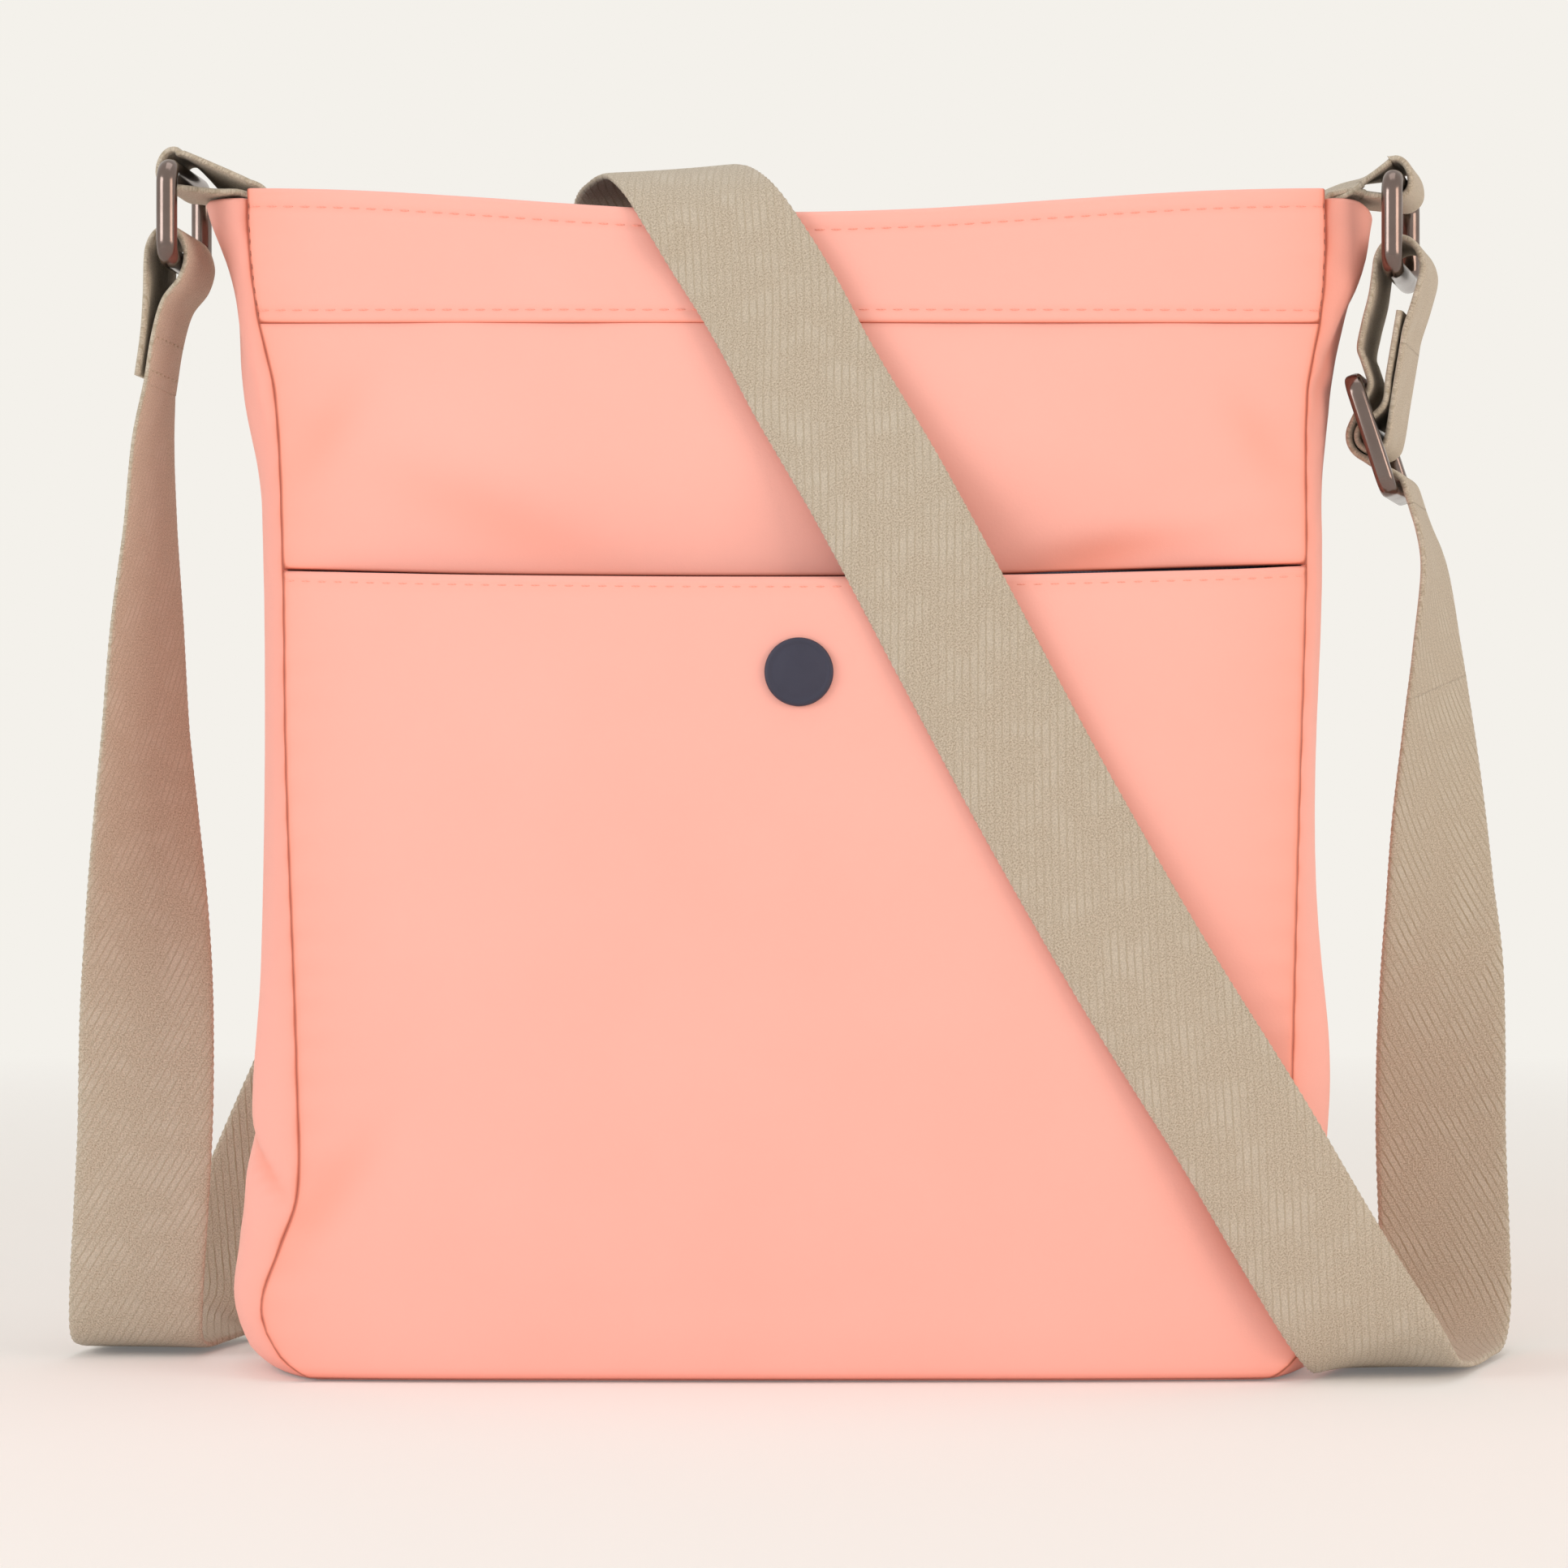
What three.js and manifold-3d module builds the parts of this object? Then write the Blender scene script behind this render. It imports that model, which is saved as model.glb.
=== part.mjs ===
// A crossbody bag of coated cloth: full-width front pocket, top zip, soft side walls,
// and one long webbing strap that hangs in two metal rings and runs through an adjuster.
// Millimetres, +Z up, the front faces -Y, the origin is on the floor under the middle of the base.

import * as THREE from "three";
import { mergeVertices } from "three/addons/utils/BufferGeometryUtils.js";
import Module from "manifold-3d";

// Bag body
const BAG_HEIGHT = 260; // floor to the top edge at the side seams
const TOP_SAG = 5.4; // how much lower the top edge hangs in the middle
const BAND_HEIGHT = 30.5; // folded band round the mouth of the bag
const POCKET_HEIGHT = 175; // floor to the mouth of the front pocket
const SEAM_HALF_WIDTH = 110; // middle to the side seams at mid height
const BASE_HALF_DEPTH = 31;
const BELLY_HALF_DEPTH = 32;
const SHOULDER_HALF_DEPTH = 29; // at the pocket's mouth
const TOP_HALF_DEPTH = 15;
const POCKET_CROWN = 8; // how far the full pocket swells forward
const UPPER_CROWN = 4; // swell of the cloth above the pocket
const BACK_CROWN = 3;
const POCKET_DIP = 30; // height over which the upper cloth draws in to the pocket's mouth
const POCKET_TUCK = 0.6; // how far it sits behind the side seams there
const CLOTH = 1.5; // coated outer cloth with its backing
const LINING = 0.6;
const LINING_EASE = 1.2; // between the lining and the side walls
const SEAM_GAP = 0.3; // clearance between neighbouring pieces
const LINING_TOP_DROP = 24; // lining's upper edge below the top edge
const GUSSET_TOP_DROP = 4; // side wall's upper edge below the top edge

// Top zip
const ZIP_DROP = 5.1; // zip plane below the lowest point of the top edge
const ZIP_HALF_LENGTH = 104;
const ZIP_END_LENGTH = 9;
const TAPE_THICKNESS = 0.7;
const TOOTH_WIDTH = 1;
const TOOTH_LENGTH = 2.3;
const TEETH_SPINE = 1.2;
const TEETH_HEIGHT = 2.2;
const TEETH_ENGAGED = 1.8; // overlap of the two rows
const SLIDER_LENGTH = 10;
const SLIDER_WIDTH = 9.6;
const SLIDER_PLATE = 1.2;
const SLIDER_FLANGE = 0.9;
const SLIDER_WEDGE = 2.4;
const BRIDGE_WIDTH = 2;
const BRIDGE_WALL = 1;
const BRIDGE_SPAN = 3.2; // clear length under the bridge
const PULL_PIN = 1.2; // thickness of the pull and of its pin
const PULL_LENGTH = 20;
const PULL_WIDTH = 7;
const PULL_ARM = 1.6;

// Button on the pocket
const BUTTON_RADIUS = 7.4;
const BUTTON_HEIGHT = 2;
const BUTTON_X = 2;
const BUTTON_DROP = 22; // centre below the pocket's mouth
const BUTTON_POST_RADIUS = 1.5;
const WASHER_RADIUS = 5;
const WASHER_THICKNESS = 0.8;

// Rings, tabs and webbing
const STRAP_WIDTH = 30;
const WEBBING = 1.5; // thickness of all webbing
const TAB_WIDTH = 25;
const TAB_TAIL = 14; // sewn length below the top edge
const RING_WIRE = 2.3; // radius of the wire
const RING_INNER_WIDTH = 33;
const RING_INNER_HEIGHT = 14.8;
const RING_CORNER = 3.5;
const LEFT_REACH = 16.5; // left ring's upper bar outside the top corner of the bag
const LEFT_RISE = 4; // and above it
const LEFT_CREST = 4.9; // top of the tab's loop above that bar
const LEFT_YAW = THREE.MathUtils.degToRad(-4); // turn of the ring about the upright
const RIGHT_REACH = 18;
const RIGHT_RISE = 1.8;
const RIGHT_CREST = 8.4;
const RIGHT_YAW = THREE.MathUtils.degToRad(-14);
const LOOP_RISE = 6.9; // how far slack webbing arches over a ring's lower bar
const SEWN_LENGTH = 27.6; // doubled strap end below the left ring

// Three-bar adjuster
const ADJUSTER_DROP = 56; // its middle bar below the ring's upper bar
const ADJUSTER_INSET = 4.85; // and nearer to the bag
const ADJUSTER_TILT = THREE.MathUtils.degToRad(18);
const ADJUSTER_BAR = 4; // width and thickness of each bar
const ADJUSTER_PITCH = 12.2; // between neighbouring bars
const ADJUSTER_SIDE = 4;
const THREADED_HALF_LENGTH = 17; // webbing that travels with the adjuster
const END_SPREAD = THREE.MathUtils.degToRad(27.5); // sewn end's lean away from the adjuster's plate
const END_TAIL = 28; // sewn tail above the middle bar

// Spans and steps of the facets
const PANEL_COLUMNS = 16;
const POCKET_ROWS = 12;
const UPPER_ROWS = 6;
const BAND_ROWS = 3;
const BACK_ROWS = 14;
const GUSSET_COLUMNS = 8;
const GUSSET_ROWS = 22;
const LINING_ROWS = 10;
const RING_STEPS = 40;
const ROW_EASING = 1.6;
const ROUND_SIDES = 10;
const CIRCLE_STEPS = 24;

// Colours of the finished cloth, webbing and metal
const CORAL = { color: 0xffb0a0, roughness: 0.6, metalness: 0 };
const NAVY = { color: 0x34364a, roughness: 0.7, metalness: 0 };
const BEIGE = { color: 0xbdb197, roughness: 0.8, metalness: 0 };
const GUNMETAL = { color: 0x6b6461, roughness: 0.25, metalness: 1 };

const bag = new THREE.Group();

// Adds one named piece with a material of its own.
function addPiece(parent, name, geometry, finish) {
  const mesh = new THREE.Mesh(geometry, new THREE.MeshStandardMaterial(finish));
  mesh.name = name;
  parent.add(mesh);
  return mesh;
}

// Smooth curve through [position, value] pairs.
function curveThrough(pairs) {
  const slope = (i) => {
    const [before, after] = [pairs[Math.max(i - 1, 0)], pairs[Math.min(i + 1, pairs.length - 1)]];
    return (after[1] - before[1]) / (after[0] - before[0]);
  };
  return (at) => {
    let i = 0;
    while (i < pairs.length - 2 && at > pairs[i + 1][0]) i += 1;
    const span = pairs[i + 1][0] - pairs[i][0];
    const t = THREE.MathUtils.clamp((at - pairs[i][0]) / span, 0, 1);
    const [rise, fall] = [t * t * (3 - 2 * t), t * (1 - t)];
    const bend = fall * (1 - t) * slope(i) * span - fall * t * slope(i + 1) * span;
    return pairs[i][1] + (pairs[i + 1][1] - pairs[i][1]) * rise + bend;
  };
}

// Geometry from points and triangles, turned so that its faces point out.
function closedGeometry(points, triangles) {
  let volume = 0;
  const normal = new THREE.Vector3();
  for (const [a, b, c] of triangles) {
    volume += points[a].dot(normal.crossVectors(points[b], points[c]));
  }
  const index = triangles.flatMap(([a, b, c]) => (volume < 0 ? [a, c, b] : [a, b, c]));
  const geometry = new THREE.BufferGeometry().setFromPoints(points);
  geometry.setIndex(index);
  return geometry;
}

// Solid through a row of rings of points. It is capped at both ends, or joined end to start. The sides
// numbered in turned are split along their other diagonal.
function loft(rings, joined = false, turned = []) {
  const count = rings[0].length;
  const points = rings.flat();
  const triangles = [];
  const spans = joined ? rings.length : rings.length - 1;
  for (let r = 0; r < spans; r += 1) {
    const [low, high] = [r * count, ((r + 1) % rings.length) * count];
    for (let i = 0; i < count; i += 1) {
      const next = (i + 1) % count;
      const [a, b, c, d] = [low + i, low + next, high + next, high + i];
      if (turned.includes(i)) triangles.push([a, b, d], [b, c, d]);
      else triangles.push([a, b, c], [a, c, d]);
    }
  }
  if (!joined) {
    for (const [ring, first, turned] of [
      [rings[0], 0, true],
      [rings.at(-1), points.length - count, false],
    ]) {
      const middle = points.length;
      points.push(ring.reduce((sum, p) => sum.add(p), new THREE.Vector3()).divideScalar(count));
      for (let i = 0; i < count; i += 1) {
        const [a, b] = [first + i, first + ((i + 1) % count)];
        triangles.push(turned ? [b, a, middle] : [a, b, middle]);
      }
    }
  }
  return closedGeometry(points, triangles);
}

// Wall between two surfaces given over u from -1 to 1 and v from 0 to 1.
function wall(outer, inner, columns, rows) {
  const across = columns + 1;
  const points = [];
  for (const surface of [outer, inner]) {
    for (let r = 0; r <= rows; r += 1) {
      for (let c = 0; c <= columns; c += 1) points.push(surface((2 * c) / columns - 1, r / rows));
    }
  }
  const triangles = [];
  const back = across * (rows + 1);
  const quad = (a, b, c, d) => triangles.push([a, b, c], [a, c, d]);
  for (let r = 0; r < rows; r += 1) {
    for (let c = 0; c < columns; c += 1) {
      const [a, d] = [r * across + c, (r + 1) * across + c];
      quad(a, a + 1, d + 1, d);
      quad(back + a, back + d, back + d + 1, back + a + 1);
    }
    const [left, right] = [r * across, r * across + columns];
    quad(left, left + across, back + left + across, back + left);
    quad(right + across, right, back + right, back + right + across);
  }
  const top = rows * across;
  for (let c = 0; c < columns; c += 1) {
    quad(c + 1, c, back + c, back + c + 1);
    quad(top + c, top + c + 1, back + top + c + 1, back + top + c);
  }
  return closedGeometry(points, triangles);
}

// Flat webbing along stations of a centre, a width direction and, where it is known, a heading.
function ribbon(stations, width) {
  const last = stations.length - 1;
  return loft(
    stations.map(({ centre, across, heading }, i) => {
      const ahead = stations[Math.min(i + 1, last)].centre;
      const behind = stations[Math.max(i - 1, 0)].centre;
      const along = heading?.clone() ?? ahead.clone().sub(behind).normalize();
      const side = across.clone().addScaledVector(along, -across.dot(along)).setLength(width / 2);
      const face = along.cross(side).setLength(WEBBING / 2);
      const corner = (s, f) => centre.clone().addScaledVector(side, s).addScaledVector(face, f);
      return [corner(-1, -1), corner(1, -1), corner(1, 1), corner(-1, 1)];
    }),
    false,
    [2], // both faces share their diagonals, so that a twisted length keeps its thickness
  );
}

// Webbing whose width runs along Y, on a path of [x, z] points.
function foldedWebbing(path, width) {
  const across = new THREE.Vector3(0, 1, 0);
  return ribbon(
    path.map(([x, z]) => ({ centre: new THREE.Vector3(x, 0, z), across })),
    width,
  );
}

// Points of an arc in the XZ plane, angles in degrees from +X towards +Z.
function arc([x, z], radius, from, to, steps) {
  return Array.from({ length: steps + 1 }, (_, i) => {
    const angle = THREE.MathUtils.degToRad(from + ((to - from) * i) / steps);
    return [x + radius * Math.cos(angle), z + radius * Math.sin(angle)];
  });
}

// Outer shape of the bag, by the share of its height
const seamSpread = curveThrough([
  [0, -6], [0.02, 0], [0.06, 4], [0.11, 1], [0.155, -2.5], [0.24, -2.5],
  [0.54, 0], [0.68, 1], [0.82, 2.5], [0.89, 6.3], [0.945, 8], [1, 8.5],
]);
const sideSwell = curveThrough([
  [0, 8], [0.06, 9], [0.155, 12], [0.23, 12], [0.34, 8.7], [0.48, 7],
  [0.73, 6], [0.82, 7.5], [0.92, 6.5], [0.98, 11], [1, 12],
]);
const crownShare = curveThrough([[0, 0], [0.15, 0.75], [0.45, 1], [0.68, 0.9], [0.9, 0.35], [1, 0.15]]);
const depthCurve = curveThrough([
  [0, BASE_HALF_DEPTH], [0.25, BELLY_HALF_DEPTH],
  [0.68, SHOULDER_HALF_DEPTH], [1, TOP_HALF_DEPTH],
]);
const BAND_SEAM = BAG_HEIGHT - BAND_HEIGHT;
const ZIP_PLANE = BAG_HEIGHT - TOP_SAG - ZIP_DROP;
const seamX = (z) => SEAM_HALF_WIDTH + seamSpread(z / BAG_HEIGHT);
const halfDepth = (z) => depthCurve(z / BAG_HEIGHT);
const topEdge = (u) => BAG_HEIGHT - TOP_SAG * Math.cos((u * Math.PI) / 2) ** 2;
const crown = (u, z, height) => height * crownShare(z / BAG_HEIGHT) * (1 - u ** 4);
const between = THREE.MathUtils.lerp;

const pocketY = (u, z) => -halfDepth(z) - crown(u, z, POCKET_CROWN);
const upperY = (u, z) => {
  const free = THREE.MathUtils.smoothstep(z, POCKET_HEIGHT, POCKET_HEIGHT + POCKET_DIP);
  const tuck = POCKET_TUCK * (1 - free) * (1 - u ** 8);
  return -halfDepth(z) - free * crown(u, z, UPPER_CROWN) + tuck;
};
const gussetX = (u, z) => seamX(z) + sideSwell(z / BAG_HEIGHT) * Math.cos((u * Math.PI) / 2) ** 0.8;
const backY = (u, z) => halfDepth(z) + crown(u, z, BACK_CROWN);

// Cloth panel that stands between two heights on a front or back surface.
// Easing above 1 crowds the rows towards the lower edge, where the corners are round.
function panel(surfaceY, low, high, facing, rows, easing = 1) {
  const place = (inset) => (u, v) => {
    const z = between(low(u), high(u), v ** easing);
    return new THREE.Vector3(u * seamX(z), surfaceY(u, z) - facing * inset, z);
  };
  return wall(place(0), place(CLOTH), PANEL_COLUMNS, rows);
}

// A closed three.js geometry as a solid that can be cut, and back again.
const wasm = await Module();
wasm.setup();
function toSolid(geometry) {
  const bare = geometry.clone();
  bare.deleteAttribute("normal");
  bare.deleteAttribute("uv");
  const merged = mergeVertices(bare, 1e-4);
  return new wasm.Manifold(
    new wasm.Mesh({
      numProp: 3,
      vertProperties: merged.attributes.position.array,
      triVerts: new Uint32Array(merged.index.array),
    }),
  );
}
function fromSolid(solid) {
  const mesh = solid.getMesh();
  const geometry = new THREE.BufferGeometry();
  geometry.setAttribute("position", new THREE.BufferAttribute(mesh.vertProperties, 3));
  geometry.setIndex(new THREE.BufferAttribute(mesh.triVerts, 1));
  return geometry;
}

// Front, back, sides and base
function addPanels() {
  const floorEdge = () => SEAM_GAP;
  const mouth = () => POCKET_HEIGHT;
  const aboveMouth = () => POCKET_HEIGHT + SEAM_GAP;
  const bandSeam = () => BAND_SEAM;
  const aboveSeam = () => BAND_SEAM + SEAM_GAP;
  addPiece(bag, "front_upper_panel", panel(upperY, aboveMouth, bandSeam, -1, UPPER_ROWS), CORAL);
  addPiece(bag, "front_top_band", panel(upperY, aboveSeam, topEdge, -1, BAND_ROWS), CORAL);
  addPiece(bag, "back_panel", panel(backY, floorEdge, bandSeam, 1, BACK_ROWS, ROW_EASING), CORAL);
  addPiece(bag, "back_top_band", panel(backY, aboveSeam, topEdge, 1, BAND_ROWS), CORAL);

  const pocket = toSolid(panel(pocketY, floorEdge, mouth, -1, POCKET_ROWS, ROW_EASING));
  const hole = new THREE.CylinderGeometry(
    BUTTON_POST_RADIUS + SEAM_GAP, BUTTON_POST_RADIUS + SEAM_GAP, 8 * CLOTH, CIRCLE_STEPS);
  hole.applyMatrix4(buttonSeat());
  addPiece(bag, "front_pocket_panel", fromSolid(pocket.subtract(toSolid(hole))), CORAL);

  const gussetTop = BAG_HEIGHT - GUSSET_TOP_DROP;
  const edge = CLOTH + SEAM_GAP;
  for (const [name, side] of [["gusset_left", -1], ["gusset_right", 1]]) {
    const place = (inset) => (u, v) => {
      const z = between(SEAM_GAP, gussetTop, v ** ROW_EASING);
      return new THREE.Vector3(side * (gussetX(u, z) - inset), u * (halfDepth(z) - edge), z);
    };
    addPiece(bag, name, wall(place(0), place(CLOTH), GUSSET_COLUMNS, GUSSET_ROWS), CORAL);
  }

  const base = (z) => (u, v) => {
    const share = between(-1, 1, v);
    const x = gussetX(share, 0) - CLOTH - 2 * SEAM_GAP;
    return new THREE.Vector3(u * x, share * (halfDepth(0) - edge), z);
  };
  addPiece(bag, "base_panel", wall(base(0), base(CLOTH), PANEL_COLUMNS, GUSSET_COLUMNS), CORAL);
}

// Lining of the front pocket and of the main compartment
function addLinings() {
  const low = CLOTH + 2 * SEAM_GAP;
  const shares = Array.from({ length: LINING_ROWS + 1 }, (_, i) => i / LINING_ROWS);
  const narrowest = Math.min(...shares.map((t) => seamX(between(low, POCKET_HEIGHT, t))));
  const halfWidth = narrowest - CLOTH - LINING_EASE;
  const pocketFace = (z) => -halfDepth(z) + CLOTH + SEAM_GAP;
  const pocketBack = (inset) => (u, v) => {
    const z = between(low, POCKET_HEIGHT, v);
    return new THREE.Vector3(u * halfWidth, pocketFace(z) + inset, z);
  };
  addPiece(bag, "pocket_lining", wall(pocketBack(0), pocketBack(LINING), PANEL_COLUMNS, LINING_ROWS), NAVY);

  const top = BAG_HEIGHT - LINING_TOP_DROP;
  const section = (z, inset) => {
    const front = pocketFace(z) + LINING + SEAM_GAP + inset;
    const back = halfDepth(z) - CLOTH - SEAM_GAP - inset;
    const x = halfWidth - inset;
    const corners = [[-x, front], [x, front], [x, back], [-x, back]];
    return corners.flatMap(([x0, y0], i) => {
      const [x1, y1] = corners[(i + 1) % corners.length];
      return [0, 0.25, 0.5, 0.75].map((t) => new THREE.Vector3(between(x0, x1, t), between(y0, y1, t), z));
    });
  };
  const outside = shares.map((t) => section(between(low, top, t), 0));
  const inside = shares.map((t) => section(between(low + LINING, top, t), LINING)).reverse();
  addPiece(bag, "main_lining", loft([...outside, ...inside]), NAVY);
}

// Top zip
const teethPitch = 2 * (TOOTH_WIDTH + SEAM_GAP);
const spineEdge = TOOTH_LENGTH + TEETH_SPINE - TEETH_ENGAGED / 2; // middle line to the spine's back
const sliderCentre = -ZIP_HALF_LENGTH + SLIDER_LENGTH;

// Comb-shaped row of teeth, pointing towards +Y from its spine, first tooth at the given place.
function teethRow(firstTooth, lastEnd) {
  const root = -TEETH_ENGAGED / 2 + (TEETH_ENGAGED - TOOTH_LENGTH);
  const tip = root + TOOTH_LENGTH;
  const outline = new THREE.Shape();
  outline.moveTo(firstTooth, root - TEETH_SPINE);
  let x = firstTooth;
  const corners = [];
  for (; x + TOOTH_WIDTH < lastEnd; x += teethPitch) {
    corners.push([x, root], [x, tip], [x + TOOTH_WIDTH, tip], [x + TOOTH_WIDTH, root]);
  }
  const end = x - teethPitch + TOOTH_WIDTH;
  outline.lineTo(end, root - TEETH_SPINE);
  for (const corner of corners.reverse()) outline.lineTo(...corner);
  outline.closePath();
  const row = new THREE.ExtrudeGeometry(outline, { depth: TEETH_HEIGHT, bevelEnabled: false });
  return row.translate(0, 0, ZIP_PLANE - TEETH_HEIGHT / 2);
}

function addZip() {
  const bandInside = (surfaceY, x, facing) => {
    const u = x / seamX(ZIP_PLANE);
    return surfaceY(u, ZIP_PLANE) - facing * (CLOTH + SEAM_GAP);
  };
  const tape = (surfaceY, facing) => {
    const place = (lift) => (u, v) => {
      const x = u * ZIP_HALF_LENGTH;
      const y = between(bandInside(surfaceY, x, facing), facing * (spineEdge + SEAM_GAP), v);
      return new THREE.Vector3(x, y, ZIP_PLANE + lift);
    };
    return wall(place(TAPE_THICKNESS / 2), place(-TAPE_THICKNESS / 2), PANEL_COLUMNS, 2);
  };
  addPiece(bag, "zip_tape_front", tape(upperY, -1), NAVY);
  addPiece(bag, "zip_tape_back", tape(backY, 1), NAVY);

  const start = sliderCentre + SLIDER_WEDGE / 2;
  addPiece(bag, "zip_teeth_front", teethRow(start, ZIP_HALF_LENGTH), NAVY);
  const backRow = teethRow(start + teethPitch / 2, ZIP_HALF_LENGTH);
  backRow.applyMatrix4(new THREE.Matrix4().makeScale(1, -1, 1));
  backRow.setIndex(Array.from({ length: backRow.attributes.position.count }, (_, i) => i).reverse());
  addPiece(bag, "zip_teeth_back", backRow, NAVY);

  for (const [name, side] of [["zip_end_left", -1], ["zip_end_right", 1]]) {
    const near = ZIP_HALF_LENGTH + SEAM_GAP;
    const place = (lift) => (u, v) => {
      const x = side * (near + ZIP_END_LENGTH * v);
      const reach = u < 0 ? bandInside(upperY, x, -1) : bandInside(backY, x, 1);
      return new THREE.Vector3(x, Math.abs(u) * reach, ZIP_PLANE + lift);
    };
    addPiece(bag, name, wall(place(CLOTH), place(-CLOTH / 2), 4, 2), CORAL);
  }
  addZipSlider();
}

// Slider: two plates joined by a wedge, flanges that close in on the tapes, and a bridge on top.
function addZipSlider() {
  const inner = TEETH_HEIGHT / 2 + SEAM_GAP;
  const block = (sx, sy, sz, x, y, z) => toSolid(new THREE.BoxGeometry(sx, sy, sz).translate(x, y, z));
  const plateZ = inner + SLIDER_PLATE / 2;
  const flangeHeight = inner - TAPE_THICKNESS / 2 - SEAM_GAP;
  const flangeY = (SLIDER_WIDTH - SLIDER_FLANGE) / 2;
  const sink = SLIDER_PLATE / 4; // lets the joined blocks share some volume
  const wedge = new THREE.CylinderGeometry(SLIDER_WEDGE / 2, SLIDER_WEDGE / 2, 2 * (inner + sink), 4);
  wedge.rotateX(Math.PI / 2).translate(-SLIDER_WEDGE / 2 - SEAM_GAP, 0, 0);
  let body = toSolid(wedge);
  for (const up of [-1, 1]) {
    body = body.add(block(SLIDER_LENGTH, SLIDER_WIDTH, SLIDER_PLATE, 0, 0, up * plateZ));
    for (const side of [-1, 1]) {
      const z = up * (inner - (flangeHeight - sink) / 2);
      body = body.add(block(SLIDER_LENGTH, SLIDER_FLANGE, flangeHeight + sink, 0, side * flangeY, z));
    }
  }
  const plateTop = inner + SLIDER_PLATE;
  const bridgeLength = BRIDGE_SPAN + 2 * BRIDGE_WALL;
  const clear = PULL_PIN + 2 * SEAM_GAP;
  const bridge = block(
    bridgeLength, BRIDGE_WIDTH, clear + BRIDGE_WALL + sink, 0, 0, plateTop + (clear + BRIDGE_WALL - sink) / 2);
  const window = block(BRIDGE_SPAN, 2 * BRIDGE_WIDTH, clear, 0, 0, plateTop + clear / 2);
  body = body.add(bridge.subtract(window));
  const slider = addPiece(bag, "zip_slider", fromSolid(body), GUNMETAL);
  slider.position.set(sliderCentre, 0, ZIP_PLANE);

  // Pull: a pin under the bridge, two arms past it, and a rounded tab
  const half = PULL_WIDTH / 2;
  const pin = PULL_PIN / 2;
  const outline = new THREE.Shape();
  outline.moveTo(-pin, -half);
  outline.lineTo(PULL_LENGTH - half, -half);
  outline.absarc(PULL_LENGTH - half, 0, half, -Math.PI / 2, Math.PI / 2, false);
  outline.lineTo(-pin, half);
  outline.closePath();
  const gap = new THREE.Path();
  const [near, far, wide] = [pin, bridgeLength, half - PULL_ARM];
  gap.moveTo(near, -wide);
  gap.lineTo(near, wide);
  gap.lineTo(far, wide);
  gap.lineTo(far, -wide);
  gap.closePath();
  outline.holes.push(gap);
  const tab = new THREE.ExtrudeGeometry(outline, { depth: PULL_PIN, bevelEnabled: false, curveSegments: 8 });
  const pull = addPiece(bag, "zip_pull", tab.translate(0, 0, -pin), GUNMETAL);
  pull.position.set(sliderCentre, 0, ZIP_PLANE + plateTop + clear / 2);
}

// Where the button sits: Y of its own frame points out of the pocket.
function buttonSeat() {
  const z = POCKET_HEIGHT - BUTTON_DROP;
  const surface = (x, height) => new THREE.Vector3(x, pocketY(x / seamX(height), height), height);
  const centre = surface(BUTTON_X, z);
  const right = surface(BUTTON_X + 1, z).sub(centre);
  const up = surface(BUTTON_X, z + 1).sub(centre);
  const out = right.clone().cross(up).normalize();
  right.normalize();
  return new THREE.Matrix4().makeBasis(right, out, right.clone().cross(out)).setPosition(centre);
}

function addButton() {
  const lathe = (pairs) =>
    new THREE.LatheGeometry(pairs.map(([r, h]) => new THREE.Vector2(r, h)), CIRCLE_STEPS);
  const behind = -CLOTH - 2 * SEAM_GAP;
  const rim = SEAM_GAP + BUTTON_HEIGHT * 0.45;
  const cap = lathe([
    [0, behind - WASHER_THICKNESS], [BUTTON_POST_RADIUS, behind - WASHER_THICKNESS],
    [BUTTON_POST_RADIUS, SEAM_GAP], [BUTTON_RADIUS, SEAM_GAP], [BUTTON_RADIUS, rim],
    [BUTTON_RADIUS * 0.93, SEAM_GAP + BUTTON_HEIGHT * 0.75],
    [BUTTON_RADIUS * 0.6, SEAM_GAP + BUTTON_HEIGHT * 0.95], [0, SEAM_GAP + BUTTON_HEIGHT],
  ]);
  const bore = BUTTON_POST_RADIUS + SEAM_GAP / 2;
  const washer = lathe([
    [bore, behind - WASHER_THICKNESS], [WASHER_RADIUS, behind - WASHER_THICKNESS],
    [WASHER_RADIUS, behind], [bore, behind], [bore, behind - WASHER_THICKNESS],
  ]);
  addPiece(bag, "button_cap", cap.applyMatrix4(buttonSeat()), NAVY);
  addPiece(bag, "button_washer", washer.applyMatrix4(buttonSeat()), GUNMETAL);
}

// Rings, their tabs and the webbing that hangs on them, in a frame whose origin is the ring's upper bar
const topCorner = seamX(BAG_HEIGHT);
const loopRadius = RING_WIRE + SEAM_GAP + WEBBING / 2; // middle of webbing round a ring bar
const ringHeight = RING_INNER_HEIGHT + 2 * RING_WIRE;
const ringWidth = RING_INNER_WIDTH + 2 * RING_WIRE;
const ringDrop = ringHeight; // upper to lower bar
const ply = WEBBING + SEAM_GAP; // spacing of two layers of webbing

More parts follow.
